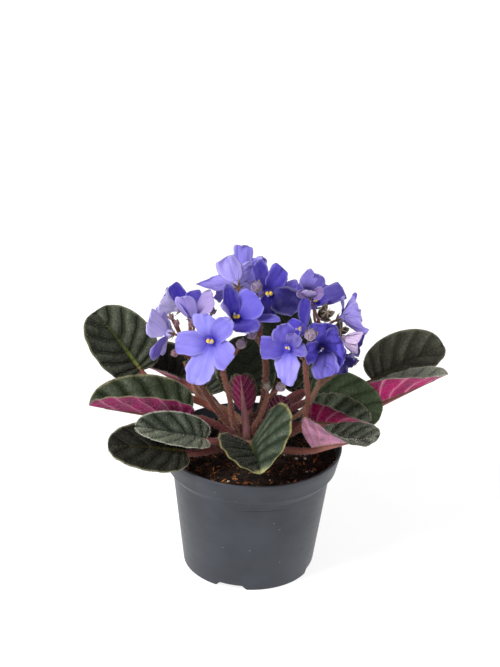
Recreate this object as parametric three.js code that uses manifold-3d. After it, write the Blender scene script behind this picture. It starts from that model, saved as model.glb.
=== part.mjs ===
// A potted African violet: a low rosette of broad, folded, hairy leaves round a short crown, with
// several stalks of five-petalled violet blooms, in a moulded nursery pot of soil.
// Millimetres, +Z up. The origin is on the pot's axis, in the plane that the pot stands on, and the
// front of the plant looks along -Y.
import * as THREE from 'three';
import { mergeVertices } from 'three/addons/utils/BufferGeometryUtils.js';
import Module from 'manifold-3d';

const wasm = await Module();
wasm.setup();

// Driving dimensions of the pot and its soil.
const RIM_RADIUS = 60;
const POT_HEIGHT = 88;
const BAND_HEIGHT = 14;
const BAND_FOOT_RADIUS = 57;
const BODY_TOP_RADIUS = 52.5;
const BODY_TOP_Z = 67.5;
const BASE_RADIUS = 44;
const WALL = 1.6;
const FLOOR_Z = 3.4;
const BOSS_Z = 1.5;
const BOSS_RADIUS = 11;
const FOOT_WIDTH = 3.2;
const NOTCH_COUNT = 4;
const NOTCH_WIDTH = 19;
const NOTCH_AZIMUTH = 255.6;
const DRAIN_COUNT = 6;
const DRAIN_RADIUS = 3.5;
const DRAIN_RING_RADIUS = 30;
const POT_SIDES = 36;
const SOIL_Z = 80;
const CLEARANCE = 0.35;

// The crown is the short stem that every leaf and flower stalk grows from.
const CROWN_AT = new THREE.Vector3(-3, 3, 0);
const CROWN_RADIUS = 10;
const CROWN_BOTTOM_Z = 66;
const CROWN_TOP_Z = 97;

// Blades, petals and stalks.
const BLADE_THICKNESS = 0.9;
const PETIOLE_RADIUS = 2.5;
const PETAL_THICKNESS = 0.7;
const THROAT_RADIUS = 3;
const PEDICEL_RADIUS = 0.9;
const SEPAL_LENGTH = 5;
const SPENT_LEAN = new THREE.Vector3(0.2, -1.2, 0);

// Each leaf is given by the joint where its stalk meets the blade, the tip of the blade, the way its
// upper face looks, the blade's width, how far each half is folded up from the midrib (left and right
// as seen from the joint with the face up), how far each half curls on from there, the share of the fold
// that is lost by the tip, and how far the midrib bends down. lean is the share by which the left half
// is wider than the mean, and lobe how far its base runs back past the joint. root is the stalk's place on the crown: its azimuth and its height above the
// soil. Angles are in degrees.
const LEAVES = [
  {
    name: 'leaf_left_high', joint: [-76.5, 27, 125], tip: [-110, 52, 156], face: [0.35, -0.9, 0.5],
    width: 45, fold: [12, 12], curl: [10, 10], relax: 0.2, bend: 20, root: [160, 14.5],
  },
  {
    name: 'leaf_left_behind', joint: [-50.5, 44, 110.5], tip: [-84, 60, 117], face: [0.1, -0.75, 0.65],
    width: 44, fold: [80, 5], curl: [0, 0], relax: 0.2, bend: 10, root: [148, 9],
  },
  {
    name: 'leaf_left_folded', joint: [-42, -8, 110], tip: [-108, -15, 119], face: [0, -0.15, 1],
    width: 52, fold: [60, 48], curl: [0, 0], relax: 0, bend: -10, root: [187, 9],
  },
  {
    name: 'leaf_left_low', joint: [-43, -38, 100], tip: [-93, -46, 106.5], face: [0, -0.3, 1],
    width: 42, fold: [5, 10], curl: [-14, 0], relax: 0.2, bend: 10, root: [215, 3],
  },
  {
    name: 'leaf_left_small', joint: [-30, -30, 105], tip: [-76, -36, 116], face: [0.1, -0.6, 0.8],
    width: 29, fold: [35, 10], curl: [0, 10], relax: 0.2, bend: 10, root: [232, 9],
  },
  {
    name: 'leaf_front', joint: [-1, -33, 104], tip: [6, -72, 104], face: [0, -0.1, 1],
    width: 63, lean: 0.2, lobe: 0.9, fold: [58, 26], curl: [0, 0], relax: 0.2, bend: 14, root: [268, 3],
  },
  {
    name: 'leaf_right_pink', joint: [39, -33, 103], tip: [81, -45, 120], face: [0, -0.1, 1],
    width: 54, lean: -0.2, fold: [15, 85], curl: [0, 0], relax: 0.9, bend: 0, root: [320, 3],
  },
  {
    name: 'leaf_right_folded', joint: [36, 1, 104], tip: [77.5, -7, 109.5], face: [0, 0, 1],
    width: 44, fold: [50, 75], curl: [0, 0], relax: 0.6, bend: 0, root: [343, 9],
  },
  {
    name: 'leaf_right_broad', joint: [38, 25, 115], tip: [85, 7, 108.5], face: [0.2, -0.8, 0.6],
    width: 40, fold: [8, 8], curl: [0, 0], relax: 0.2, bend: 20, root: [12, 14.5],
  },
  {
    name: 'leaf_right_long', joint: [76, 28.5, 101.6], tip: [130.5, 34.5, 127.6], face: [0, -0.1, 1],
    width: 46, lean: -0.1, fold: [16, 85], curl: [0, 0], relax: 0.6, bend: 0, root: [12, 3.6],
  },
  {
    name: 'leaf_right_high', joint: [82.2, 73, 101.6], tip: [131.2, 85, 125.1], face: [0, -0.4, 1],
    width: 48, fold: [55, 25], curl: [0, 0], relax: 0.2, bend: 0, root: [35, 9],
  },
  {
    name: 'leaf_centre_upright', joint: [-4, 24, 112], tip: [-8, 42, 147], face: [0, -0.95, 0.3],
    width: 40, fold: [10, 10], curl: [0, 0], relax: 0.2, bend: 10, root: [82, 9],
  },
  {
    name: 'leaf_centre_young', joint: [-6, -4, 113.5], tip: [-9.5, -6, 141], face: [0, 0.95, 0.3],
    width: 24, fold: [48, 48], curl: [0, 0], relax: 0.3, bend: 0, root: [262, 14.5],
  },
  {
    name: 'leaf_back_tall', joint: [15, 44, 111], tip: [21, 58, 171], face: [0, -1, 0.3],
    width: 44, fold: [12, 12], curl: [0, 0], relax: 0.2, bend: 15, root: [55, 14.5],
  },
  {
    name: 'leaf_centre_inner', joint: [15, -9, 113], tip: [19, -8, 128], face: [0.2, 0.9, 0.3],
    width: 15, fold: [25, 25], curl: [0, 0], relax: 0.2, bend: 0, root: [318, 14.5],
  },
  {
    name: 'leaf_left_edge', joint: [-37, 20, 113], tip: [-49, 30, 131], face: [0.6, -0.6, 0.5],
    width: 20, fold: [70, 70], curl: [0, 0], relax: 0, bend: 0, root: [120, 14.5],
  },
  {
    name: 'leaf_back_left', joint: [-30, 50, 97], tip: [-56, 84, 100], face: [0, 0.1, 1],
    width: 44, fold: [15, 15], curl: [0, 0], relax: 0.2, bend: 20, root: [137, 3.6],
  },
  {
    name: 'leaf_back_middle', joint: [-4, 48, 98], tip: [-10, 92, 104], face: [0, 0.1, 1],
    width: 44, fold: [18, 18], curl: [0, 0], relax: 0.2, bend: 25, root: [97, 3],
  },
  {
    name: 'leaf_back_right', joint: [32, 56, 97], tip: [58, 92, 104], face: [0, 0.1, 1],
    width: 42, fold: [15, 15], curl: [0, 0], relax: 0.2, bend: 20, root: [55, 3],
  },
];

// Each bloom is given by the centre of its throat, the way it looks, and its five petals: the turn of
// each from straight up, counted anticlockwise as one looks the bloom in the face, its length and width,
// its lift, the angle that it stands up from flat, how far it bends back from throat to tip, and how
// far it twists by its tip. Blooms that stay shut hide their anthers.
const BLOOMS = [
  {
    name: 'bloom_front_left', stalk: 'front_left', at: [-28.8, -38, 180], looks: [-0.2, -0.92, 0.33],
    petals: [[18, 18, 13, 22, 32, 0], [-40, 19, 14, 30, 30, 0], [103, 21, 16, 22, 30, 0],
      [168, 24, 16, 15, 30, 0], [-125, 19, 15, 18, 32, 0]],
  },
  {
    name: 'bloom_middle', stalk: 'middle', at: [-13.6, -20, 187.6], looks: [0.06, -0.5, 0.86],
    petals: [[25, 21, 12, 55, 5, 0], [-63, 20, 20, 45, 5, 0], [102, 21, 9, 66, 0, 0],
      [-158, 19, 18, 32, 26, 0], [-103, 26, 9, 18, 5, -25]],
  },
  {
    name: 'bloom_middle_right', stalk: 'middle', at: [6.3, 6, 195.1], looks: [0.25, -0.92, 0.25],
    petals: [[22, 21, 10, 12, 30, 0], [-26, 18, 13, 18, 30, 0], [-78, 18, 8, 5, 30, 0],
      [-116, 21, 18, 30, 36, 0], [165, 15, 13, 20, 30, 0]],
  },
  {
    name: 'bloom_top_left', stalk: 'middle', at: [-14.6, 2, 202.3], looks: [-0.35, 0.9, 0.13],
    petals: [[-17, 17, 16, 30, 30, 0], [-90, 23, 10, 15, 15, 40], [60, 14, 12, 30, 30, 0],
      [140, 12, 11, 15, 30, 0], [-148, 18, 11, 25, 30, -15]],
  },
  {
    name: 'bloom_top', stalk: 'middle', at: [-9.5, 20, 195.4], looks: [-0.05, 1, 0],
    petals: [[-2, 23, 12, 15, 28, 0], [38, 17, 11, 22, 28, 0], [-60, 14, 12, 25, 30, 0],
      [120, 15, 14, 25, 30, 0], [-140, 15, 14, 25, 30, 0]],
  },
  {
    name: 'bloom_left', stalk: 'left', at: [-42.4, 0, 179.4], looks: [-0.2, -0.04, 0.98],
    petals: [[118, 23, 11, 52, -8, 0], [-120, 20, 14, 72, 0, 0], [-22, 19, 15, 36, 26, 45],
      [60, 15, 12, 56, 0, 0], [178, 14, 12, 70, 0, 0]],
  },
  {
    name: 'bloom_left_small', stalk: 'left', at: [-54.6, 18, 176.5], looks: [-0.85, 0.1, 0.3],
    petals: [[0, 12, 12, 50, -15, 0], [70, 11, 11, 60, -15, 0], [135, 17, 8, 40, 15, 0],
      [-75, 13, 12, 55, -15, 0], [-150, 12, 10, 60, -10, 0]],
  },
  {
    name: 'bloom_left_outer', stalk: 'left', at: [-57.4, -8, 170.4], looks: [-0.82, 0.45, -0.05],
    petals: [[-46, 19, 15, 17, 10, 0], [-152, 17, 12, 22, 15, 0], [25, 13, 12, 30, 30, 0],
      [95, 13, 12, 30, 30, 0], [160, 16, 13, 25, 30, 0]],
  },
  {
    name: 'bloom_right_top', stalk: 'right_back', at: [32.6, -2, 199.7], looks: [0.02, -0.85, 0.52],
    petals: [[4, 18, 13, 52, -30, 0], [-26, 15, 12, 50, -35, 0], [108, 11, 6, 58, 10, 0],
      [-100, 12, 8, 55, 15, 0], [176, 9, 10, 108, -60, 0]],
  },
  {
    name: 'bloom_right_upper', stalk: 'right_back', at: [37.6, 18.5, 183.1], looks: [0.05, -0.35, 0.93],
    petals: [[-76, 19, 16, 22, 25, 0], [-15, 14, 14, 20, 30, 0], [60, 14, 13, 30, 30, 0],
      [130, 12, 12, 35, 30, 0], [-150, 10, 10, 50, 20, 0]],
  },
  {
    name: 'bloom_right_outer', stalk: 'right_back', at: [55.6, 2, 181.1], looks: [0.88, 0.35, 0.2],
    petals: [[-18, 16, 15, 50, 20, 0], [55, 14, 13, 35, 25, 0], [110, 17, 15, 30, 15, 0],
      [-75, 14, 15, 25, 30, 0], [-155, 13, 14, 35, 30, 0]],
  },
  {
    name: 'bloom_front_right', stalk: 'right_front', at: [19.9, -42, 179], looks: [-0.12, -0.88, 0.45],
    petals: [[18, 17, 14, 35, 30, 0], [-36, 13, 10, 55, 30, 0], [98, 17, 14, 30, 32, 0],
      [-175, 20, 16, 15, 30, 0], [-90, 12, 9, 35, 30, 0]],
  },
  {
    name: 'bloom_crumpled', stalk: 'right_front', at: [41.6, -34, 176.1], looks: [0.1, -0.95, 0.25],
    petals: [[2, 19, 17, 28, 30, 15], [-55, 14, 16, 30, 30, 0], [100, 14, 15, 45, 30, -20],
      [-170, 17, 17, 28, 30, 20], [-118, 14, 16, 20, 32, 0]],
  },
  {
    name: 'bloom_edge_on', stalk: 'right_front', at: [30.4, -20, 181.5], looks: [-0.85, -0.35, 0.3],
    petals: [[20, 18, 16, 5, 10, 0], [-80, 10, 9, 50, 30, 0], [95, 10, 10, 45, 30, 0],
      [160, 10, 10, 45, 30, 0], [-145, 10, 10, 45, 30, 0]],
  },
  {
    name: 'bloom_right_low', stalk: 'right_back', shut: true, at: [57.3, -9, 171], looks: [0.9, -0.3, -0.1],
    petals: [[30, 12, 10, 66, -15, 0], [-30, 12, 10, 66, -15, 0], [100, 12, 10, 66, -15, 0],
      [-100, 12, 10, 66, -15, 0], [180, 12, 11, 64, -15, 0]],
  },
  {
    name: 'bloom_right_shaded', stalk: 'right_back', shut: true, at: [54, -22, 164], looks: [0.4, -0.8, -0.3],
    petals: [[30, 9, 8, 50, 10, 0], [-30, 9, 8, 50, 10, 0], [100, 9, 8, 50, 10, 0],
      [-100, 9, 8, 50, 10, 0], [180, 9, 8, 50, 10, 0]],
  },
];

// Each flower stalk rises from its root on the crown through its via points to its fork, where its
// blooms' and buds' own stalks start. Buds are [x, y, z, radius], and spent cups, which a bloom has
// fallen from, are [x, y, z].
const STALKS = [
  {
    name: 'front_left', root: [224, 17], via: [[-12, -8, 104], [-16, -14, 128]], fork: [-21, -22, 151],
    radius: 2, buds: [[-9.8, -28, 173.9, 3.3]], spent: [],
  },
  {
    name: 'middle', root: [85, 17], via: [[3, 8, 106], [7, 3, 140]], fork: [3, -1, 166],
    radius: 2, buds: [[-3.4, -22, 178.4, 3.6], [-1.3, -12, 206.8, 3.9]], spent: [],
  },
  {
    name: 'left', root: [191, 17], via: [[-15, 0, 101], [-38, -2, 136]], fork: [-44, -2, 156],
    radius: 1.8, spent: [],
    buds: [[-52.5, -10, 157.1, 2.6], [-55.7, -5, 180.4, 2], [-28.9, -5, 185.5, 2.2], [-52, -8, 177.6, 2.2],
      [-42.4, -13, 179.6, 2.1]],
  },
  {
    name: 'right_front', root: [318, 9], via: [[18, -9, 98], [31, -16, 109], [35, -16, 126]], fork: [32, -19, 157],
    radius: 1.9, buds: [[33.4, -46, 190.6, 4]], spent: [[41.9, -14, 190]],
  },
  {
    name: 'right_back', root: [346, 18], via: [[18, -3, 105], [33, -9, 119], [39, -8, 130]], fork: [45, -4, 142],
    radius: 1.8, buds: [[62.7, -18, 159.4, 2.9]], spent: [[52.5, -6, 175]],
  },
  {
    name: 'young', root: [292, 17], via: [[4, -10, 112]], fork: [9, -13, 131],
    radius: 1.6, buds: [[8, -17, 139, 2.6], [17, -17, 139, 3.4]], spent: [],
  },
];

const rad = THREE.MathUtils.degToRad;
const vec = (a) => new THREE.Vector3(...a);

// A closed list of triangle corners becomes a solid.
function solidOf(points) {
  const geometry = new THREE.BufferGeometry().setFromPoints(points);
  const merged = mergeVertices(geometry, 1e-4);
  const index = merged.index.array;
  const kept = [];
  for (let i = 0; i < index.length; i += 3) {
    const [a, b, c] = [index[i], index[i + 1], index[i + 2]];
    if (a !== b && b !== c && c !== a) kept.push(a, b, c);
  }
  return new wasm.Manifold(new wasm.Mesh({
    numProp: 3,
    vertProperties: merged.attributes.position.array,
    triVerts: new Uint32Array(kept),
  }));
}

function geometryOf(solid) {
  const { vertProperties, triVerts } = solid.simplify(0.1).getMesh();
  const geometry = new THREE.BufferGeometry();
  geometry.setAttribute('position', new THREE.BufferAttribute(vertProperties, 3));
  geometry.setIndex(new THREE.BufferAttribute(triVerts, 1));
  geometry.computeVertexNormals();
  return geometry;
}

// A three.js geometry, moved by a matrix, becomes a solid.
function solidFrom(geometry, matrix = new THREE.Matrix4()) {
  const loose = (geometry.index ? geometry.toNonIndexed() : geometry.clone()).applyMatrix4(matrix);
  const position = loose.getAttribute('position');
  const points = [];
  for (let i = 0; i < position.count; i += 1) {
    points.push(new THREE.Vector3().fromBufferAttribute(position, i));
  }
  return solidOf(points);
}

// A profile of [radius, z] pairs turned about the Z axis.
function turned(profile, sides) {
  const lathe = new THREE.LatheGeometry(profile.map(([r, z]) => new THREE.Vector2(r, z)), sides);
  return solidFrom(lathe, new THREE.Matrix4().makeRotationX(Math.PI / 2));
}

// A tube through the path's points, with a radius at each of them and flat ends.
function taperedTube(path, radii, sides) {
  const corners = [];
  const rings = [];
  let normal = null;
  path.forEach((p, i) => {
    const before = path[Math.max(i - 1, 0)];
    const after = path[Math.min(i + 1, path.length - 1)];
    const along = after.clone().sub(before).normalize();
    if (!normal) normal = new THREE.Vector3(0.3, 1, 0.2);
    normal = normal.clone().addScaledVector(along, -normal.dot(along)).normalize();
    const across = along.clone().cross(normal);
    rings.push([...Array(sides).keys()].map((k) => {
      const angle = (2 * Math.PI * k) / sides;
      return p.clone()
        .addScaledVector(normal, radii[i] * Math.cos(angle))
        .addScaledVector(across, radii[i] * Math.sin(angle));
    }));
  });
  for (let k = 0; k < sides; k += 1) {
    const next = (k + 1) % sides;
    for (let i = 1; i < rings.length; i += 1) {
      corners.push(rings[i - 1][k], rings[i - 1][next], rings[i][next]);
      corners.push(rings[i - 1][k], rings[i][next], rings[i][k]);
    }
    corners.push(path[0], rings[0][next], rings[0][k]);
    corners.push(path[path.length - 1], rings[rings.length - 1][k], rings[rings.length - 1][next]);
  }
  return solidOf(corners);
}

// A thin sheet between the points of a closed-edged patch: at(i, j, offset) gives the middle surface's
// point pushed along its normal. The patch's first and last rows each close in one point.
function sheet(at, rows, columns, thickness) {
  const corners = [];
  const quad = (a, b, c, d) => corners.push(a, b, c, a, c, d);
  const up = (i, j) => at(i, j, thickness / 2);
  const down = (i, j) => at(i, j, -thickness / 2);
  for (let i = 0; i < rows; i += 1) {
    for (let j = 0; j < columns; j += 1) {
      quad(up(i, j), up(i, j + 1), up(i + 1, j + 1), up(i + 1, j));
      corners.push(down(i, j), down(i + 1, j + 1), down(i, j + 1));
      corners.push(down(i, j), down(i + 1, j), down(i + 1, j + 1));
    }
    quad(up(i, columns), down(i, columns), down(i + 1, columns), up(i + 1, columns));
    quad(up(i + 1, 0), down(i + 1, 0), down(i, 0), up(i, 0));
  }
  return solidOf(corners);
}

// Leaf blades.
const LOBE = 0.3;
const VEIN_SWEEP = 1.5;
const BLADE_ROWS = 8;
const BLADE_STEPS = 2;

// The leaf's own frame: along runs from joint to tip, up is its face, left is its left half.
function leafFrame(leaf) {
  const joint = vec(leaf.joint);
  const chord = vec(leaf.tip).sub(joint);
  const along = chord.clone().normalize();
  const up = vec(leaf.face).addScaledVector(along, -vec(leaf.face).dot(along)).normalize();
  const left = up.clone().cross(along);
  const bend = rad(leaf.bend || 0.01);
  const length = (chord.length() * (bend / 2)) / Math.sin(bend / 2);
  return { joint, along, up, left, bend, length };
}

// The midrib's point and its directions at a distance u from the joint.
function midrib(frame, u) {
  const { joint, along, up, bend, length } = frame;
  const rate = bend / length;
  const angle = bend / 2 - rate * u;
  const run = (Math.sin(bend / 2) - Math.sin(angle)) / rate;
  const rise = (Math.cos(angle) - Math.cos(bend / 2)) / rate;
  return {
    point: joint.clone().addScaledVector(along, run).addScaledVector(up, rise),
    tangent: along.clone().multiplyScalar(Math.cos(angle)).addScaledVector(up, Math.sin(angle)),
    normal: up.clone().multiplyScalar(Math.cos(angle)).addScaledVector(along, -Math.sin(angle)),
  };
}

// The blade's outline at share s of the way round one side, from the notch at the joint to the tip.
function bladeOutline(length, halfWidth, lobe, s) {
  const turn = Math.PI * s;
  return {
    u: length * ((1 - Math.cos(turn)) / 2 - lobe * Math.sin(turn) * Math.exp(-1.6 * turn)),
    v: halfWidth * Math.max(Math.sin(turn), 0) ** 0.8 * (1 + 0.12 * Math.cos(turn)),
  };
}

// The blade's point at share s along a side vein's place and t from the midrib (0) to the edge (1);
// side is 1 for the left half and -1 for the right.
function bladePoint(leaf, frame, s, t, side, offset) {
  const halfWidth = (leaf.width / 2) * (1 + side * (leaf.lean || 0));
  const edge = bladeOutline(frame.length, halfWidth, leaf.lobe || LOBE, s);
  const start = frame.length * s ** VEIN_SWEEP;
  const u = start + (edge.u - start) * t ** 1.3;
  const across = (edge.v * t) / halfWidth;
  const half = side > 0 ? 0 : 1;
  const relax = 1 - leaf.relax * Math.min(Math.max(u / frame.length, 0), 1);
  const fold = rad(leaf.fold[half]) * relax;
  const curl = rad(leaf.curl[half] || 0.01) * relax;
  const run = (halfWidth * (Math.sin(fold + curl * across) - Math.sin(fold))) / curl;
  const rise = (halfWidth * (Math.cos(fold) - Math.cos(fold + curl * across))) / curl;
  const rib = midrib(frame, u);
  const tilt = t * edge.v < 1e-6 ? 0 : fold + curl * across;
  return rib.point
    .addScaledVector(frame.left, side * run)
    .addScaledVector(rib.normal, rise)
    .addScaledVector(rib.normal, offset * Math.cos(tilt))
    .addScaledVector(frame.left, -side * offset * Math.sin(tilt));
}

// The point where a stalk leaves the crown, and the way it sets off.
function rootOf([azimuth, height], rise) {
  const outward = new THREE.Vector3(Math.cos(rad(azimuth)), Math.sin(rad(azimuth)), 0);
  const point = CROWN_AT.clone().addScaledVector(outward, CROWN_RADIUS - 4);
  point.z = SOIL_Z + height;
  const way = outward.multiplyScalar(Math.cos(rise));
  way.z = Math.sin(rise);
  return { point, way };
}

function leafSolid(leaf) {
  const frame = leafFrame(leaf);
  const columns = 2 * BLADE_STEPS;
  const blade = sheet((i, j, offset) => {
    const t = Math.abs(j - BLADE_STEPS) / BLADE_STEPS;
    return bladePoint(leaf, frame, i / BLADE_ROWS, t, j < BLADE_STEPS ? 1 : -1, offset);
  }, BLADE_ROWS, columns, BLADE_THICKNESS);

  const joint = midrib(frame, 0);
  const { point: root, way } = rootOf(leaf.root, rad(20 + 2 * leaf.root[1]));
  const reach = joint.point.distanceTo(root);
  const curve = new THREE.CubicBezierCurve3(
    root,
    root.clone().addScaledVector(way, reach * 0.4),
    joint.point.clone().addScaledVector(joint.tangent, -reach * 0.3),
    joint.point.clone().addScaledVector(joint.normal, -PETIOLE_RADIUS * 0.6),
  );
  const path = curve.getPoints(4);
  const radii = path.map((_, i) => PETIOLE_RADIUS * (1 - 0.03 * i));
  for (const share of [0.4]) {
    const rib = midrib(frame, share * frame.length);
    const radius = PETIOLE_RADIUS * 0.8 * (1 - share) + 0.4;
    path.push(rib.point.addScaledVector(rib.normal, -radius * 0.6));
    radii.push(radius);
  }
  return blade.add(taperedTube(path, radii, 5));
}

// Blooms.
const PETAL_ROWS = 3;
const PETAL_STEPS = 1;

// The bloom's own frame: out is the way it looks, up is the straight up of its face.
function bloomFrame(bloom) {
  const out = vec(bloom.looks).normalize();
  const up = new THREE.Vector3(0, 0, 1).addScaledVector(out, -out.z).normalize();
  return { at: vec(bloom.at), out, up };
}

// The petal's point at share s of the way round one side, and t across it from edge (-1) to edge (1).
function petalPoint(frame, [turn, length, width, lift, bend, twist], s, t, offset) {
  const round = Math.PI * s;
  const u = (length * (1 - Math.cos(round))) / 2;
  const v = (width / 2) * Math.sin(round) * (1 - 0.25 * Math.cos(round)) * t;
  const start = rad(lift + bend / 2);
  const rate = rad(-(bend || 0.5)) / length;
  const angle = start + rate * u;
  const run = THROAT_RADIUS * 0.8 + (Math.sin(angle) - Math.sin(start)) / rate;
  const rise = (Math.cos(start) - Math.cos(angle)) / rate;
  const ray = frame.up.clone().applyAxisAngle(frame.out, rad(turn));
  const wrung = rad(twist) * Math.sqrt(u / length);
  const across = frame.out.clone().cross(ray);
  const normal = frame.out.clone().multiplyScalar(Math.cos(angle)).addScaledVector(ray, -Math.sin(angle));
  const level = offset + ((v * v) / width) * 0.35;
  return frame.at.clone()
    .addScaledVector(ray, run)
    .addScaledVector(frame.out, rise)
    .addScaledVector(across, v * Math.cos(wrung) - level * Math.sin(wrung))
    .addScaledVector(normal, v * Math.sin(wrung) + level * Math.cos(wrung));
}

function bloomSolid(bloom) {
  const frame = bloomFrame(bloom);
  const petals = bloom.petals.map((petal) => sheet(
    (i, j, offset) => petalPoint(frame, petal, i / PETAL_ROWS, (PETAL_STEPS - j) / PETAL_STEPS, offset),
    PETAL_ROWS,
    2 * PETAL_STEPS,
    PETAL_THICKNESS,
  ));
  const along = (d) => frame.at.clone().addScaledVector(frame.out, d);
  const throat = taperedTube([along(-4), along(0.8)], [1.6, THROAT_RADIUS + 0.4], 5);
  return petals.reduce((all, petal) => all.add(petal), throat);
}

// The pair of anthers stands in the throat.
function antherSolid(bloom) {
  const frame = bloomFrame(bloom);
  const side = frame.out.clone().cross(frame.up);
  const pair = [-1, 1].map((way) => {
    const base = frame.at.clone().addScaledVector(side, way * 1.1);
    const path = [0.8 + CLEARANCE, 2.6, 4.4].map((d) => base.clone().addScaledVector(frame.out, d));
    return taperedTube(path, [0.9, 1.6, 0.7], 4);
  });
  return pair[0].add(pair[1]);
}

// A green cup of five pointed sepals round the end of a bloom's stalk.
function calyx(at, out) {
  const up = new THREE.Vector3(0.3, 0.2, 1).cross(out).normalize();
  const ring = [...Array(10).keys()].map((k) => {
    const [reach, rise] = k % 2 ? [1.5, -0.6] : [SEPAL_LENGTH, 1.2];
    const ray = up.clone().applyAxisAngle(out, (Math.PI * k) / 5);
    return at.clone().addScaledVector(ray, reach).addScaledVector(out, rise - 1.5);
  });
  const top = at.clone().addScaledVector(out, -0.6);
  const bottom = at.clone().addScaledVector(out, -3);
  const corners = ring.flatMap((p, k) => {
    const next = ring[(k + 1) % ring.length];
    return [top, p, next, bottom, next, p];
  });
  return solidOf(corners);
}

// Flower stalks, with the blooms' own stalks, their green cups and the buds.
function stalkSolid(stalk) {
  const { point: root, way } = rootOf(stalk.root, rad(4 * stalk.root[1]));
  const fork = vec(stalk.fork);
  const start = root.clone().addScaledVector(way, 5);
  const curve = new THREE.CatmullRomCurve3([root, start, ...stalk.via.map(vec), fork]);
  const path = curve.getPoints(5);
  const radii = path.map((_, i) => stalk.radius * (1 - 0.03 * i));
  const parts = [taperedTube(path, radii, 5)];
  const leave = curve.getTangent(1);
  let level = 1;
  const branch = (end, out) => {
    const reach = end.distanceTo(fork);
    const base = fork.clone().addScaledVector(leave, -level);
    level += 2.4;
    const twig = new THREE.CubicBezierCurve3(
      base,
      fork.clone().addScaledVector(leave, reach * 0.4 - level),
      end.clone().addScaledVector(out, -reach * 0.3 - 2),
      end.clone().addScaledVector(out, -2),
    );
    const points = [...twig.getPoints(2), end];
    parts.push(taperedTube(points, points.map(() => PEDICEL_RADIUS), 3));
  };
  for (const bloom of BLOOMS.filter((b) => b.stalk === stalk.name)) {
    const frame = bloomFrame(bloom);
    const end = frame.at.clone().addScaledVector(frame.out, -4 - CLEARANCE);
    branch(end, frame.out);
    parts.push(calyx(end, frame.out));
  }
  for (const [x, y, z, radius] of stalk.buds) {
    const at = new THREE.Vector3(x, y, z);
    const out = at.clone().sub(fork).normalize().add(new THREE.Vector3(0, -0.3, 0.3)).normalize();
    branch(at, out);
    const heart = [-0.9, 0.1, 0.95].map((d) => at.clone().addScaledVector(out, d * radius));
    parts.push(taperedTube(heart, [0.45 * radius, radius, 0.3 * radius], 6));
  }
  for (const cup of stalk.spent) {
    const at = vec(cup);
    const out = at.clone().sub(fork).normalize().add(SPENT_LEAN).normalize();
    branch(at, out);
    parts.push(calyx(at, out));
  }
  return parts.reduce((all, part) => all.add(part));
}

// The pot: a moulded band at the rim, a tapering body, and a foot ring with drainage notches.
function potSolid() {
  const shell = turned([
    [0, BOSS_Z],
    [BOSS_RADIUS, BOSS_Z],
    [BOSS_RADIUS + 2, FLOOR_Z],
    [BASE_RADIUS - FOOT_WIDTH, FLOOR_Z],
    [BASE_RADIUS - FOOT_WIDTH, 0],
    [BASE_RADIUS - 0.8, 0],
    [BASE_RADIUS, 1],
    [BODY_TOP_RADIUS, BODY_TOP_Z],
    [BAND_FOOT_RADIUS - 0.8, POT_HEIGHT - BAND_HEIGHT - 0.6],
    [BAND_FOOT_RADIUS, POT_HEIGHT - BAND_HEIGHT],
    [RIM_RADIUS, POT_HEIGHT - 0.8],
    [RIM_RADIUS - 0.5, POT_HEIGHT],
    [RIM_RADIUS - WALL, POT_HEIGHT],
    [BAND_FOOT_RADIUS - WALL - 0.2, POT_HEIGHT - BAND_HEIGHT],
    [BODY_TOP_RADIUS - WALL, BODY_TOP_Z],
    [BASE_RADIUS - WALL, FLOOR_Z + WALL],
    [BOSS_RADIUS + 2, FLOOR_Z + WALL],
    [BOSS_RADIUS, BOSS_Z + WALL],
    [0, BOSS_Z + WALL],
  ], POT_SIDES);
  let pot = shell;
  for (let k = 0; k < NOTCH_COUNT; k += 1) {
    const turn = rad(NOTCH_AZIMUTH + (360 * k) / NOTCH_COUNT);
    const shape = new THREE.Shape([
      new THREE.Vector2(-NOTCH_WIDTH / 2 - 1, -1),
      new THREE.Vector2(NOTCH_WIDTH / 2 + 1, -1),
      new THREE.Vector2(NOTCH_WIDTH / 2 - 1.5, FLOOR_Z - 0.4),
      new THREE.Vector2(-NOTCH_WIDTH / 2 + 1.5, FLOOR_Z - 0.4),
    ]);
    const block = new THREE.ExtrudeGeometry(shape, { depth: 12, bevelEnabled: false });
    const place = new THREE.Matrix4().makeRotationZ(turn + Math.PI / 2)
      .multiply(new THREE.Matrix4().makeTranslation(0, -(BASE_RADIUS - 6), 0))
      .multiply(new THREE.Matrix4().makeRotationX(Math.PI / 2));
    pot = pot.subtract(solidFrom(block, place));
  }
  for (let k = 0; k < DRAIN_COUNT; k += 1) {
    const turn = (2 * Math.PI * (k + 0.5)) / DRAIN_COUNT;
    const hole = new THREE.CylinderGeometry(DRAIN_RADIUS, DRAIN_RADIUS, 8, 8);
    const place = new THREE.Matrix4().makeTranslation(
      DRAIN_RING_RADIUS * Math.cos(turn), DRAIN_RING_RADIUS * Math.sin(turn), FLOOR_Z,
    ).multiply(new THREE.Matrix4().makeRotationX(Math.PI / 2));
    pot = pot.subtract(solidFrom(hole, place));
  }
  return pot;
}

// Height of the soil's lumps at a place on its surface.
function soilLump(x, y) {
  return 1.1 * Math.sin(x / 5.3 + 1.2) * Math.cos(y / 4.7) + 0.7 * Math.sin(x / 2.9 - y / 3.7);
}

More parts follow.
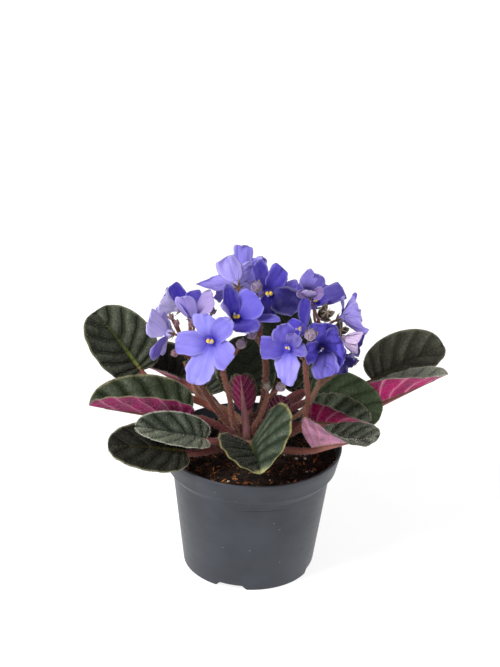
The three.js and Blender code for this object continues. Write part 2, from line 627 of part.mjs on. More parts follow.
// The soil fills the pot to below its rim, with a plain hole for the crown.
function soilSolid() {
  const inside = (z) => BASE_RADIUS - WALL + ((BODY_TOP_RADIUS - BASE_RADIUS) * z) / BODY_TOP_Z - CLEARANCE;
  const rings = [[0, SOIL_Z + 2], [12, SOIL_Z + 1.6], [24, SOIL_Z + 0.9], [36, SOIL_Z + 0.2], [46, SOIL_Z - 0.4], [55.3, SOIL_Z - 1.2]];
  const profile = [
    [0, FLOOR_Z + WALL + CLEARANCE],
    [inside(FLOOR_Z + WALL) - 0.6, FLOOR_Z + WALL + CLEARANCE],
    [inside(BODY_TOP_Z) - 0.2, BODY_TOP_Z],
    [BAND_FOOT_RADIUS - WALL - 1, POT_HEIGHT - BAND_HEIGHT],
    ...rings.reverse(),
  ];
  const lathe = new THREE.LatheGeometry(profile.map(([r, z]) => new THREE.Vector2(r, z)), 28);
  lathe.rotateX(Math.PI / 2);
  const position = lathe.getAttribute('position');
  for (let i = 0; i < position.count; i += 1) {
    const [x, y, z] = [position.getX(i), position.getY(i), position.getZ(i)];
    if (z > SOIL_Z - 2 && Math.hypot(x, y) < 50) position.setZ(i, z + soilLump(x, y));
  }
  return solidFrom(lathe).subtract(crownSolid(CLEARANCE));
}

function crownSolid(margin) {
  const core = turned([
    [0, CROWN_BOTTOM_Z - margin],
    [CROWN_RADIUS * 0.5 + margin, CROWN_BOTTOM_Z - margin],
    [CROWN_RADIUS + margin, CROWN_BOTTOM_Z + 8],
    [CROWN_RADIUS + margin, CROWN_TOP_Z - 6],
    [CROWN_RADIUS * 0.6 + margin, CROWN_TOP_Z + margin],
    [0, CROWN_TOP_Z + 1 + margin],
  ], 14);
  return core.translate([CROWN_AT.x, CROWN_AT.y, 0]);
}

const plant = new THREE.Group();

function addPart(name, solid, colour, roughness) {
  const material = new THREE.MeshStandardMaterial({ color: colour, roughness, metalness: 0 });
  const mesh = new THREE.Mesh(geometryOf(solid), material);
  mesh.name = name;
  plant.add(mesh);
}

addPart('pot', potSolid(), '#4c4f57', 0.5);
addPart('soil', soilSolid(), '#2a1c13', 0.95);
addPart('crown', crownSolid(0), '#5d4632', 0.8);
const crownRoom = crownSolid(CLEARANCE);
for (const leaf of LEAVES) {
  addPart(leaf.name, leafSolid(leaf).subtract(crownRoom), '#3c4a31', 0.6);
}
for (const stalk of STALKS) {
  addPart(`stalk_${stalk.name}`, stalkSolid(stalk).subtract(crownRoom), '#7c463c', 0.7);
}
for (const bloom of BLOOMS) {
  addPart(bloom.name, bloomSolid(bloom), '#6a55cf', 0.6);
  if (!bloom.shut) addPart(bloom.name.replace('bloom', 'anthers'), antherSolid(bloom), '#e3b52f', 0.5);
}

export default plant;
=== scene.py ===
import functools
import math
import random

import bmesh
import bpy
from mathutils import Matrix, Quaternion, Vector, noise


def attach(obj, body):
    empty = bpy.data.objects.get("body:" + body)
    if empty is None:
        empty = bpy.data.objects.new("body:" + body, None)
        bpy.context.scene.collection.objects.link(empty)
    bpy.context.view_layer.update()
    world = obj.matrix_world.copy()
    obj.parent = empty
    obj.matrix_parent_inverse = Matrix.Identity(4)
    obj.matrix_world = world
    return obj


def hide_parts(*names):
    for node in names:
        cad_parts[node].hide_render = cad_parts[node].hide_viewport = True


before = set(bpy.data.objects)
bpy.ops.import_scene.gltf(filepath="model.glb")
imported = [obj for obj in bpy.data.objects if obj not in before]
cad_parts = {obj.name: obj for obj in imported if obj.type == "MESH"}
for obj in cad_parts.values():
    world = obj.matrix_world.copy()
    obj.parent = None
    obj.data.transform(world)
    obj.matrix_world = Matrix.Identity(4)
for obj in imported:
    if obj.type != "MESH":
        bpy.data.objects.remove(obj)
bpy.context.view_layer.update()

# A potted African violet. Sizes and places are in millimetres, as in the part's source, and each
# finished mesh is brought to metres once.

# Pot and soil
RIM_RADIUS = 60
POT_HEIGHT = 88
BAND_HEIGHT = 14
BAND_FOOT_RADIUS = 57
BODY_TOP_RADIUS = 52.5
BODY_TOP_Z = 67.5
BASE_RADIUS = 44
WALL = 1.6
FLOOR_Z = 3.4
BOSS_Z = 1.5
BOSS_RADIUS = 11
FOOT_WIDTH = 3.2
NOTCH_COUNT = 4
NOTCH_WIDTH = 19
NOTCH_AZIMUTH = 255.6
NOTCH_HEIGHT = 3
SINK_LINE_Z = 65.5
SINK_LINE_AZIMUTH = 279
DRAIN_COUNT = 6
DRAIN_RADIUS = 3.5
DRAIN_RING_RADIUS = 30
SOIL_Z = 80
SOIL_GAP = 0.35
CRUMBS_RADIUS = 56

# Plant
CROWN_AT = Vector((-3, 3, 0))
CROWN_RADIUS = 10
ROOT_DEPTH = 4
BLADE_THICKNESS = 0.8
PETIOLE_RADIUS = 2.5
PETIOLE_STEPS = 18
PETAL_THICKNESS = 0.34
THROAT_RADIUS = 3
STALK_STEPS = 30
PEDICEL_RADIUS = 0.9
PEDICEL_STEPS = 13
SEPAL_LENGTH = 5
VEIN_SWEEP = 2.2
SIDE_VEINS = 7

# Hairs, by their width, their number on a square millimetre and that on a millimetre of a blade's rim
HAIR_WIDTH = 0.13
BLADE_HAIRS = 0.9
RIM_HAIRS = 3.0
PETIOLE_HAIRS = 0.5
STALK_HAIRS = 0.9

# A spent cup leans to the front. Each of its three rings of sepals is given by how far below its middle
# it stands, how much longer than fresh ones it is, its width, lift, colour and curl.
SPENT_LEAN = Vector((0.2, -1.2, 0))
SPENT_RINGS = ((1.6, 4, 6, 8, "#2e201c", 0.8), (1.2, 1, 4, 42, "#453832", 0.6),
               (1.4, 6, 1.3, 15, "#77685a", 1.9))

# Each leaf, as in the part's source. Each pair is its left and its right half: top is the colour of the
# upper face and its silver how much its hairs whiten it together with how strongly highlights are painted
# on its swellings. Both are set lighter or darker leaf by leaf and half by half, partly to paint the light
# and shade that fall on each. blush is the colour of the underside, stalk that of its stalk, rib that of
# its midrib with its strength, margin that of its thin edge, which starts margin_from of the way out, and
# pale_tip that of a bleached tip. lean widens the left half and narrows the right one, and lobe is how far
# the blade reaches back past its joint. What a leaf doesn't name is that of the usual leaf.
USUAL_LEAF = dict(curl=(0, 0), relax=0.2, bend=0, lean=0, lobe=0.3, blush="#8a2450", stalk="#702e38",
                  margin_from=0.93)
LEAVES = [
    dict(name="leaf_left_high", joint=(-76.5, 27, 125), tip=(-110, 52, 156), face=(0.35, -0.9, 0.5),
         width=45, fold=(12, 12), curl=(10, 10), bend=20, root=(160, 14.5),
         top=("#12140a", "#1d2112"), silver_and_highlight=(0.3, 0.58), blush="#8a2a52", stalk="#8f4c3c", quilt=1.5,
         rib=("#7f8f3e", 1), margin="#787a5c"),
    dict(name="leaf_left_behind", joint=(-50.5, 44, 110.5), tip=(-84, 60, 117), face=(0.1, -0.75, 0.65),
         width=44, fold=(80, 5), bend=10, root=(148, 9),
         top=("#1f1a17", "#1f1a17"), silver_and_highlight=(0.05, 0.05), blush="#9c1c54", stalk="#743236", quilt=0.8,
         rib=("#4a4a30", 0.4), margin="#8a8a6c"),
    dict(name="leaf_left_folded", joint=(-42, -8, 110), tip=(-108, -15, 119), face=(0, -0.15, 1),
         width=52, fold=(60, 48), relax=0, bend=-10, root=(187, 9),
         top=("#1f2b10", "#212b11"), silver_and_highlight=(0.42, 0.55), blush="#a01a62", stalk="#702c34", quilt=1.2,
         rib=("#4e5a34", 0.35), margin="#8e8a66"),
    dict(name="leaf_left_low", joint=(-43, -38, 100), tip=(-93, -46, 106.5), face=(0, -0.3, 1),
         width=42, fold=(5, 10), curl=(-14, 0), bend=10, root=(215, 3),
         top=("#0e0c07", "#0c0a06"), silver_and_highlight=(0.18, 0.1), blush="#7c2246", stalk="#5e222a", quilt=1.1,
         rib=("#8a8436", 0.5), margin="#8c8b70"),
    dict(name="leaf_left_small", joint=(-30, -30, 105), tip=(-76, -36, 116), face=(0.1, -0.6, 0.8),
         width=29, fold=(35, 10), curl=(0, 10), bend=10, root=(232, 9),
         top=("#585f4e", "#1c241c"), silver_and_highlight=(1.0, 0.62), blush="#8f2a54", stalk="#6c2c36", quilt=0.9,
         rib=("#8d9384", 0.5), margin="#b4b8a8"),
    dict(name="leaf_front", joint=(-1, -33, 104), tip=(6, -72, 104), face=(0, -0.1, 1),
         width=63, lean=0.2, lobe=0.9, fold=(58, 26), bend=14, root=(268, 3),
         top=("#152a17", "#0a0e07"), silver_and_highlight=(0.64, 0.15), blush="#a8a860", stalk="#96584a", quilt=1.2,
         rib=("#5f6a3a", 0.7), margin="#a09a62", pale_tip="#b9ba7e"),
    dict(name="leaf_right_pink", joint=(39, -33, 103), tip=(81, -45, 120), face=(0, -0.1, 1),
         width=54, lean=-0.2, fold=(15, 85), relax=0.9, root=(320, 3),
         top=("#161c13", "#161c13"), silver_and_highlight=(0.75, 0.75), blush="#d298b8", stalk="#8a5048", quilt=1.0,
         rib=("#b08a80", 0.9), margin="#7f826c"),
    dict(name="leaf_right_folded", joint=(36, 1, 104), tip=(77.5, -7, 109.5), face=(0, 0, 1),
         width=44, fold=(50, 75), relax=0.6, root=(343, 9),
         top=("#29331f", "#29331f"), silver_and_highlight=(0.75, 0.75), blush="#a01656", quilt=1.0,
         rib=("#5a6a40", 0.5), margin="#767a5c"),
    dict(name="leaf_right_broad", joint=(38, 25, 115), tip=(85, 7, 108.5), face=(0.2, -0.8, 0.6),
         width=40, fold=(8, 8), bend=20, root=(12, 14.5),
         top=("#475639", "#435237"), silver_and_highlight=(0.2, 0.2), quilt=0.8,
         rib=("#44522a", 0.5), margin="#6d7a52"),
    dict(name="leaf_right_long", joint=(76, 28.5, 101.6), tip=(130.5, 34.5, 127.6), face=(0, -0.1, 1),
         width=46, lean=-0.1, fold=(16, 85), relax=0.6, root=(12, 3.6),
         top=("#85867a", "#85867a"), silver_and_highlight=(1.0, 1.0), blush="#b8146a", stalk="#7e3a44", quilt=0.9,
         rib=("#8a6a5a", 1), margin="#a3a38c"),
    dict(name="leaf_right_high", joint=(82.2, 73, 101.6), tip=(131.2, 85, 125.1), face=(0, -0.4, 1),
         width=48, fold=(55, 25), root=(35, 9),
         top=("#312f27", "#34322a"), silver_and_highlight=(0.4, 0.3), quilt=0.8,
         rib=("#5c5c3c", 0.6), margin="#6f6f58"),
    dict(name="leaf_centre_upright", joint=(-4, 24, 112), tip=(-8, 42, 147), face=(0, -0.95, 0.3),
         width=40, fold=(10, 10), bend=10, root=(82, 9),
         top=("#1a2012", "#1a2012"), silver_and_highlight=(0.05, 0.05), blush="#7c2246", quilt=0.6,
         rib=("#3c4a22", 0.5), margin="#5d6a3e"),
    dict(name="leaf_centre_young", joint=(-6, -4, 113.5), tip=(-9.5, -6, 141), face=(0, 0.95, 0.3),
         width=24, fold=(48, 48), relax=0.3, root=(262, 14.5),
         top=("#25301c", "#25301c"), silver_and_highlight=(0.3, 0.3), blush="#7e1b4b", stalk="#94606a", quilt=0.5,
         rib=("#94606c", 0.3), margin="#2c3c1a", margin_from=0.6),
    dict(name="leaf_back_tall", joint=(15, 44, 111), tip=(21, 58, 171), face=(0, -1, 0.3),
         width=44, fold=(12, 12), bend=15, root=(55, 14.5),
         top=("#1c2216", "#1c2216"), silver_and_highlight=(0.1, 0.1), blush="#7c2246", quilt=0.8,
         rib=("#3c4a22", 0.5), margin="#5d6a3e"),
    dict(name="leaf_centre_inner", joint=(15, -9, 113), tip=(19, -8, 128), face=(0.2, 0.9, 0.3),
         width=15, fold=(25, 25), root=(318, 14.5),
         top=("#2a3a18", "#2a3a18"), silver_and_highlight=(0.3, 0.3), blush="#4a1a30", stalk="#7e3a44", quilt=0.4,
         rib=("#7a4a50", 0.6), margin="#3f5228"),
    dict(name="leaf_left_edge", joint=(-37, 20, 113), tip=(-49, 30, 131), face=(0.6, -0.6, 0.5),
         width=20, fold=(70, 70), relax=0, root=(120, 14.5),
         top=("#474618", "#474618"), silver_and_highlight=(0.2, 0.2), blush="#6e4a2a", stalk="#94684a", quilt=0.3,
         rib=("#6c6a30", 0.5), margin="#7c7a40"),
    dict(name="leaf_back_left", joint=(-30, 50, 97), tip=(-56, 84, 100), face=(0, 0.1, 1),
         width=44, fold=(15, 15), bend=20, root=(137, 3.6),
         top=("#2a3324", "#2a3324"), silver_and_highlight=(0.6, 0.6), quilt=1.1,
         rib=("#7f8f3e", 0.8), margin="#787a5c"),
    dict(name="leaf_back_middle", joint=(-4, 48, 98), tip=(-10, 92, 104), face=(0, 0.1, 1),
         width=44, fold=(18, 18), bend=25, root=(97, 3),
         top=("#283322", "#283322"), silver_and_highlight=(0.65, 0.65), quilt=1.1,
         rib=("#7f8f3e", 0.8), margin="#787a5c"),
    dict(name="leaf_back_right", joint=(32, 56, 97), tip=(58, 92, 104), face=(0, 0.1, 1),
         width=42, fold=(15, 15), bend=20, root=(55, 3),
         top=("#272f22", "#272f22"), silver_and_highlight=(0.6, 0.6), quilt=1.0,
         rib=("#7f8f3e", 0.8), margin="#787a5c"),
]

# Each bloom, as in the part's source. Each petal is its turn, length, width, lift, bend and twist, with
# the colour of its face. back is the colour of their backs, deep that of the throat, and ruffle how
# uneven they are. By a petal's number, backs gives the back of one that differs, and points how far
# its tip narrows, or widens below 0. anthers is their size, and a shut bloom shows none. The faces' and
# backs' colours are set lighter or darker petal by petal, partly to paint the light and shade that fall
# on each.
USUAL_BLOOM = dict(backs={}, points={}, anthers=1, shut=False)
BLOOMS = [
    dict(name="bloom_front_left", stalk="front_left", at=(-28.8, -38, 180), looks=(-0.2, -0.92, 0.33),
         back="#b3a5ec", deep="#4336b4", ruffle=0.6, points={2: 0.2, 3: -0.25},
         petals=[(18, 18, 13, 22, 32, 0, "#9690ea"), (-40, 19, 14, 30, 30, 0, "#8077d2"),
                 (103, 21, 16, 22, 30, 0, "#8e85e0"), (168, 24, 16, 15, 30, 0, "#958fe4"),
                 (-125, 19, 15, 18, 32, 0, "#8b82dc")]),
    dict(name="bloom_middle", stalk="middle", at=(-13.6, -20, 187.6), looks=(0.06, -0.5, 0.86),
         back="#8f80e4", deep="#2c209c", ruffle=0.4, points={0: 0.35},
         petals=[(25, 21, 12, 55, 5, 0, "#4438a4"), (-63, 20, 20, 45, 5, 0, "#7167d2"),
                 (102, 21, 9, 66, 0, 0, "#a394dc"), (-158, 19, 18, 32, 26, 0, "#4b3ea6"),
                 (-103, 26, 9, 18, 5, -25, "#6b60c6")]),
    dict(name="bloom_middle_right", stalk="middle", at=(6.3, 6, 195.1), looks=(0.25, -0.92, 0.25),
         back="#8f80e4", deep="#22167c", ruffle=0.5,
         petals=[(22, 21, 10, 12, 30, 0, "#42369f"), (-26, 18, 13, 18, 30, 0, "#5448b8"),
                 (-78, 18, 8, 5, 30, 0, "#8f80e4"), (-116, 21, 18, 30, 36, 0, "#20165c"),
                 (165, 15, 13, 20, 30, 0, "#281c70")]),
    dict(name="bloom_top_left", stalk="middle", at=(-14.6, 2, 202.3), looks=(-0.35, 0.9, 0.13),
         back="#aca0ec", deep="#4336b4", ruffle=0.8,
         backs={1: "#a093e6", 4: "#8475cc"}, points={1: 0.8, 0: 0.2},
         petals=[(-17, 17, 16, 30, 30, 0, "#6a5cdc"), (-90, 23, 10, 15, 15, 40, "#6a5cdc"),
                 (60, 14, 12, 30, 30, 0, "#6a5cdc"), (140, 12, 11, 15, 30, 0, "#6a5cdc"),
                 (-148, 18, 11, 25, 30, -15, "#6a5cdc")]),
    dict(name="bloom_top", stalk="middle", at=(-9.5, 20, 195.4), looks=(-0.05, 1, 0),
         back="#9a90e8", deep="#4336b4", ruffle=0.8,
         petals=[(-2, 23, 12, 15, 28, 0, "#6a5cdc"), (38, 17, 11, 22, 28, 0, "#6a5cdc"),
                 (-60, 14, 12, 25, 30, 0, "#6a5cdc"), (120, 15, 14, 25, 30, 0, "#6a5cdc"),
                 (-140, 15, 14, 25, 30, 0, "#6a5cdc")]),
    dict(name="bloom_left", stalk="left", at=(-42.4, 0, 179.4), looks=(-0.2, -0.04, 0.98),
         back="#a897e2", deep="#3426a6", ruffle=0.4,
         petals=[(118, 23, 11, 52, -8, 0, "#4335a8"), (-120, 20, 14, 72, 0, 0, "#8c80ea"),
                 (-22, 19, 15, 36, 26, 45, "#b3a0d4"), (60, 15, 12, 56, 0, 0, "#5142a8"),
                 (178, 14, 12, 70, 0, 0, "#8c80ea")]),
    dict(name="bloom_left_small", stalk="left", at=(-54.6, 18, 176.5), looks=(-0.85, 0.1, 0.3),
         back="#e6dcff", deep="#4336b4", ruffle=0.3, points={2: 0.5},
         petals=[(0, 12, 12, 50, -15, 0, "#6a5cdc"), (70, 11, 11, 60, -15, 0, "#6a5cdc"),
                 (135, 17, 8, 40, 15, 0, "#6a5cdc"), (-75, 13, 12, 55, -15, 0, "#6a5cdc"),
                 (-150, 12, 10, 60, -10, 0, "#6a5cdc")]),
    dict(name="bloom_left_outer", stalk="left", at=(-57.4, -8, 170.4), looks=(-0.82, 0.45, -0.05),
         back="#cbbeff", deep="#4336b4", ruffle=0.5, backs={1: "#6d5cb8"},
         petals=[(-46, 19, 15, 17, 10, 0, "#6a5cdc"), (-152, 17, 12, 22, 15, 0, "#6a5cdc"),
                 (25, 13, 12, 30, 30, 0, "#6a5cdc"), (95, 13, 12, 30, 30, 0, "#6a5cdc"),
                 (160, 16, 13, 25, 30, 0, "#6a5cdc")]),
    dict(name="bloom_right_top", stalk="right_back", at=(32.6, -2, 199.7), looks=(0.02, -0.85, 0.52),
         back="#c4b4e4", deep="#20125e", ruffle=0.3, points={0: 0.7},
         petals=[(4, 18, 13, 52, -30, 0, "#9f92ee"), (-26, 15, 12, 50, -35, 0, "#675aae"),
                 (108, 11, 6, 58, 10, 0, "#9a80b4"), (-100, 12, 8, 55, 15, 0, "#8e74a8"),
                 (176, 9, 10, 108, -60, 0, "#e6d4ea")]),
    dict(name="bloom_right_upper", stalk="right_back", at=(37.6, 18.5, 183.1), looks=(0.05, -0.35, 0.93),
         anthers=0.6, back="#6f5fcc", deep="#3426a0", ruffle=0.5,
         petals=[(-76, 19, 16, 22, 25, 0, "#54489c"), (-15, 14, 14, 20, 30, 0, "#52459a"),
                 (60, 14, 13, 30, 30, 0, "#6353c6"), (130, 12, 12, 35, 30, 0, "#5a4abc"),
                 (-150, 10, 10, 50, 20, 0, "#5a4abc")]),
    dict(name="bloom_right_outer", stalk="right_back", at=(55.6, 2, 181.1), looks=(0.88, 0.35, 0.2),
         back="#a698e4", deep="#3426a0", ruffle=0.9, points={0: 0.5, 2: 0.3},
         petals=[(-18, 16, 15, 50, 20, 0, "#6a5ad0"), (55, 14, 13, 35, 25, 0, "#6a5ad0"),
                 (110, 17, 15, 30, 15, 0, "#6a5ad0"), (-75, 14, 15, 25, 30, 0, "#6a5ad0"),
                 (-155, 13, 14, 35, 30, 0, "#6a5ad0")]),
    dict(name="bloom_front_right", stalk="right_front", at=(19.9, -42, 179), looks=(-0.12, -0.88, 0.45),
         anthers=0.6, back="#a092e6", deep="#3a2cb0", ruffle=0.8, points={0: 0.3, 3: 0.25},
         petals=[(18, 17, 14, 35, 30, 0, "#6a5cbe"), (-36, 13, 10, 55, 30, 0, "#6c60a8"),
                 (98, 17, 14, 30, 32, 0, "#685bc0"), (-175, 20, 16, 15, 30, 0, "#a298f0"),
                 (-90, 12, 9, 35, 30, 0, "#7468bc")]),
    dict(name="bloom_crumpled", stalk="right_front", at=(41.6, -34, 176.1), looks=(0.1, -0.95, 0.25),
         anthers=0.35, back="#6a5cd4", deep="#180e5c", ruffle=2.3,
         petals=[(2, 19, 17, 28, 30, 15, "#4a3eae"), (-55, 14, 16, 30, 30, 0, "#463aa4"),
                 (100, 14, 15, 45, 30, -20, "#5142b8"), (-170, 17, 17, 28, 30, 20, "#776bc8"),
                 (-118, 14, 16, 20, 32, 0, "#6054c4")]),
    dict(name="bloom_edge_on", stalk="right_front", at=(30.4, -20, 181.5), looks=(-0.85, -0.35, 0.3),
         back="#7a6cdc", deep="#3426a0", ruffle=0.4,
         petals=[(20, 18, 16, 5, 10, 0, "#43379c"), (-80, 10, 9, 50, 30, 0, "#5648c8"),
                 (95, 10, 10, 45, 30, 0, "#5a4ccc"), (160, 10, 10, 45, 30, 0, "#5648c8"),
                 (-145, 10, 10, 45, 30, 0, "#5648c8")]),
    dict(name="bloom_right_low", stalk="right_back", at=(57.3, -9, 171), looks=(0.9, -0.3, -0.1),
         back="#ecd2f4", deep="#241458", ruffle=0.4, shut=True,
         petals=[(30, 12, 10, 66, -15, 0, "#3c2a86"), (-30, 12, 10, 66, -15, 0, "#3c2a86"),
                 (100, 12, 10, 66, -15, 0, "#3c2a86"), (-100, 12, 10, 66, -15, 0, "#3c2a86"),
                 (180, 12, 11, 64, -15, 0, "#3c2a86")]),
    # Its dark colours are painted shade, as the bloom sits in the plant's shadow.
    dict(name="bloom_right_shaded", stalk="right_back", at=(54, -22, 164), looks=(0.4, -0.8, -0.3),
         back="#241c48", deep="#1a1040", ruffle=1.0, shut=True,
         petals=[(30, 9, 8, 50, 10, 0, "#2e2468"), (-30, 9, 8, 50, 10, 0, "#2e2468"),
                 (100, 9, 8, 50, 10, 0, "#2e2468"), (-100, 9, 8, 50, 10, 0, "#2e2468"),
                 (180, 9, 8, 50, 10, 0, "#332872")]),
]

# Each flower stalk rises from its root on the crown through its via points to its fork. Buds are
# their centre, radius and colour, and spent cups, which a bloom has fallen from, their centre. colours
# are the stalk's at its foot and at its fork.
STALKS = [
    dict(name="front_left", root=(224, 17), via=[(-12, -8, 104), (-16, -14, 128)], fork=(-21, -22, 151),
         radius=2, buds=[(-9.8, -28, 173.9, 3.3, "#8a7388")], spent=[], colours=("#5a2422", "#84483e")),
    dict(name="middle", root=(85, 17), via=[(3, 8, 106), (7, 3, 140)], fork=(3, -1, 166),
         radius=2, buds=[(-3.4, -22, 178.4, 3.6, "#8c6f92"), (-1.3, -12, 206.8, 3.9, "#7c6a98")], spent=[],
         colours=("#4c1e1c", "#622a24")),
    dict(name="left", root=(191, 17), via=[(-15, 0, 101), (-38, -2, 136)], fork=(-44, -2, 156),
         radius=1.8, buds=[(-52.5, -10, 157.1, 2.6, "#8a5a6a"), (-55.7, -5, 180.4, 2, "#7c3c48"),
                           (-28.9, -5, 185.5, 2.2, "#8c7288"), (-52, -8, 177.6, 2.2, "#7c3c48"),
                           (-42.4, -13, 179.6, 2.1, "#84505c")],
         spent=[], colours=("#6e382c", "#541c1e")),
    dict(name="right_front", root=(318, 9), via=[(18, -9, 98), (31, -16, 109), (35, -16, 126)],
         fork=(32, -19, 157), radius=1.9, buds=[(33.4, -46, 190.6, 4, "#8f7a98")], spent=[(41.9, -14, 190)],
         colours=("#6c302e", "#84483e")),
    dict(name="right_back", root=(346, 18), via=[(18, -3, 105), (33, -9, 119), (39, -8, 130)],
         fork=(45, -4, 142), radius=1.8, buds=[(62.7, -18, 159.4, 2.9, "#9c8498")], spent=[(52.5, -6, 175)],
         colours=("#703430", "#96705e")),
    dict(name="young", root=(292, 17), via=[(4, -10, 112)], fork=(9, -13, 131), radius=1.6,
         buds=[(8, -17, 139, 2.6, "#978c74"), (17, -17, 139, 3.4, "#8c7a90")], spent=[],
         colours=("#74382f", "#84503f")),
]

# Colours and materials

def linear(hex_code):
    """The linear colour of an sRGB hex code."""
    parts = [int(hex_code[i:i + 2], 16) / 255 for i in (1, 3, 5)]
    return tuple(c / 12.92 if c <= 0.04045 else ((c + 0.055) / 1.055) ** 2.4 for c in parts) + (1.0,)


def blend(a, b, share):
    """A share of the way from one colour to another."""
    return tuple(x + (y - x) * share for x, y in zip(a, b))


def smooth(low, high, x):
    """A soft rise from 0 at low to 1 at high, which may lie below low."""
    x = min(max((x - low) / (high - low), 0), 1)
    return x * x * (3 - 2 * x)


def grains(size):
    """The scale of a pattern whose grains are about size millimetres wide."""
    return 1000 / size


def node(tree, kind, *values, out=None, **settings):
    """Adds a node and gives its first output, or the one that out names. The values fill its inputs in
    order, a setting with a capital fills the input of that name, and the others are its fields. A kind
    in capitals is an operation of the Math node, and a Mix is of colours."""
    if kind.isupper():
        settings["operation"] = kind
        kind = "Math"
    if kind == "Mix":
        settings["data_type"] = "RGBA"
    made = tree.nodes.new("ShaderNode" + kind)
    named = [name for name in settings if name[0].isupper()]
    for name in settings.keys() - named:
        setattr(made, name, settings[name])
    filled = list(zip([socket for socket in made.inputs if socket.enabled], values))
    filled += [(made.inputs[name], settings[name]) for name in named]
    for socket, value in filled:
        if isinstance(value, bpy.types.NodeSocket):
            tree.links.new(value, socket)
        else:
            socket.default_value = linear(value) if isinstance(value, str) else value
    return made.outputs[out] if out else [socket for socket in made.outputs if socket.enabled][0]


def material(name, **constants):
    """A material with one Principled shader, whose even values are set on its own sockets, with the
    function that adds its nodes and the socket that gives the place on the object."""
    made = bpy.data.materials.new(name)
    made.use_nodes = True
    shader = made.node_tree.nodes["Principled BSDF"]
    for socket, value in constants.items():
        value = linear(value) if isinstance(value, str) else value
        shader.inputs[socket.replace("_", " ")].default_value = value
    add = functools.partial(node, made.node_tree)
    return made, add, add("TexCoord", out="Object")


def finish(made, colour, relief=None, depth=0.0, roughness=None):
    """Links the colour, a relief that is depth millimetres deep, and an uneven roughness to the shader."""
    tree = made.node_tree
    inputs = tree.nodes["Principled BSDF"].inputs
    tree.links.new(colour, inputs["Base Color"])
    if relief is not None:
        tree.links.new(node(tree, "Bump", Height=relief, Distance=depth / 1000), inputs["Normal"])
    if roughness is not None:
        tree.links.new(roughness, inputs["Roughness"])
    return made


def mottle(add, where, size, detail, low, high, start=0.0, end=1.0):
    """Patches about size millimetres wide: a noise's rise from low to high, as one from start to end."""
    return add("MapRange", add("TexNoise", where, grains(size), detail), low, high, start, end)


def surface_place(add):
    """The two shares that say where on its sheet a point lies."""
    place = add("UVMap", uv_map="place")
    return add("SeparateXYZ", place), add("SeparateXYZ", place, out="Y")


def outwards(add, across):
    """How far a point lies from the middle line of its sheet, from 0 to 1."""
    return add("MULTIPLY", add("ABSOLUTE", add("SUBTRACT", across, 0.5)), 2.0)


def counted_veins(add, along, where):
    """How many side veins lie below a point, with a slight wander."""
    wander = add("MULTIPLY", add("SUBTRACT", add("TexNoise", where, grains(9), 1), 0.5), 0.35)
    return add("ADD", add("MULTIPLY", along, SIDE_VEINS), wander)


def polypropylene_pot():
    """Injection-moulded grey polypropylene: satin, with a fine mould grain, faint flow clouds and a few
    pale specks of reground plastic."""
    made, add, where = material("polypropylene_pot", IOR=1.49, Specular_IOR_Level=0.36)
    clouds = add("TexNoise", where, grains(28), 3)
    specks = add("TexVoronoi", where, grains(9))
    colour = add("Mix", add("MapRange", clouds, 0.35, 0.65), "#2e3138", "#373b43")
    colour = add("Mix", add("MapRange", specks, 0.045, 0.03), colour, "#7c8089")
    relief = add("ADD", add("TexNoise", where, grains(0.5), 3), add("MULTIPLY", clouds, 2.0))
    scuffs = add("TexNoise", add("Mapping", where, Scale=(1, 1, 6)), grains(9), 4)
    return finish(made, colour, relief, 0.02, add("MapRange", scuffs, 0.3, 0.8, 0.36, 0.48))


def peat_soil():
    """Damp peat compost: near black, crumbly and dull, with brown and a few greenish fibres through it."""
    made, add, where = material("peat_soil", Specular_IOR_Level=0.3, Roughness=0.92)
    clods = mottle(add, where, 5, 4, 0.4, 0.62)
    crumbs = mottle(add, where, 1.1, 2, 0.6, 0.72)
    damp = mottle(add, where, 14, 1, 0.55, 0.7)
    fibres = mottle(add, where, 1.7, 3, 0.5, 0.62, 0.0, 0.7)
    colour = add("Mix", clods, "#0f0b09", "#2a1c14")
    colour = add("Mix", crumbs, colour, "#54301a")
    colour = add("Mix", add("MULTIPLY", damp, fibres), colour, "#3c3c1c")
    return finish(made, colour, add("TexNoise", where, grains(0.9), 4, 0.7), 0.5)


def bark_chips():
    """Shredded coir and bark: dry orange-brown slivers, each darker or paler, with a fibrous grain."""
    made, add, where = material("bark_and_coir", Specular_IOR_Level=0.3, Roughness=0.8)
    slivers = mottle(add, where, 1.6, 3, 0.35, 0.65)
    pale = mottle(add, where, 7, 1, 0.56, 0.72)
    colour = add("Mix", pale, add("Mix", slivers, "#2e150a", "#8a4e24"), "#c98646")
    return finish(made, colour, add("TexNoise", where, grains(0.5), 3), 0.2)


def perlite():
    """Expanded perlite: off-white, rough, porous grains."""
    made, add, where = material("perlite", Specular_IOR_Level=0.4, Roughness=0.85)
    pores = add("TexNoise", where, grains(0.6), 2)
    return finish(made, add("Mix", pores, "#a49a8c", "#e9e4da"), pores, 0.3)


def crown_bark():
    """The old stem: corky brown, scarred in rings by shed leaves."""
    made, add, where = material("corky_stem", Specular_IOR_Level=0.3, Roughness=0.85)
    # The rings lie 6.3 mm apart, as a wave whose scale is 1 repeats every pi / 10 m.
    rings = add("TexWave", where, grains(6.3133) * math.pi / 10, 3.0, 2.0, bands_direction="Z", out="Fac")
    return finish(made, add("Mix", rings, "#3a2718", "#74573a"), rings, 0.6)


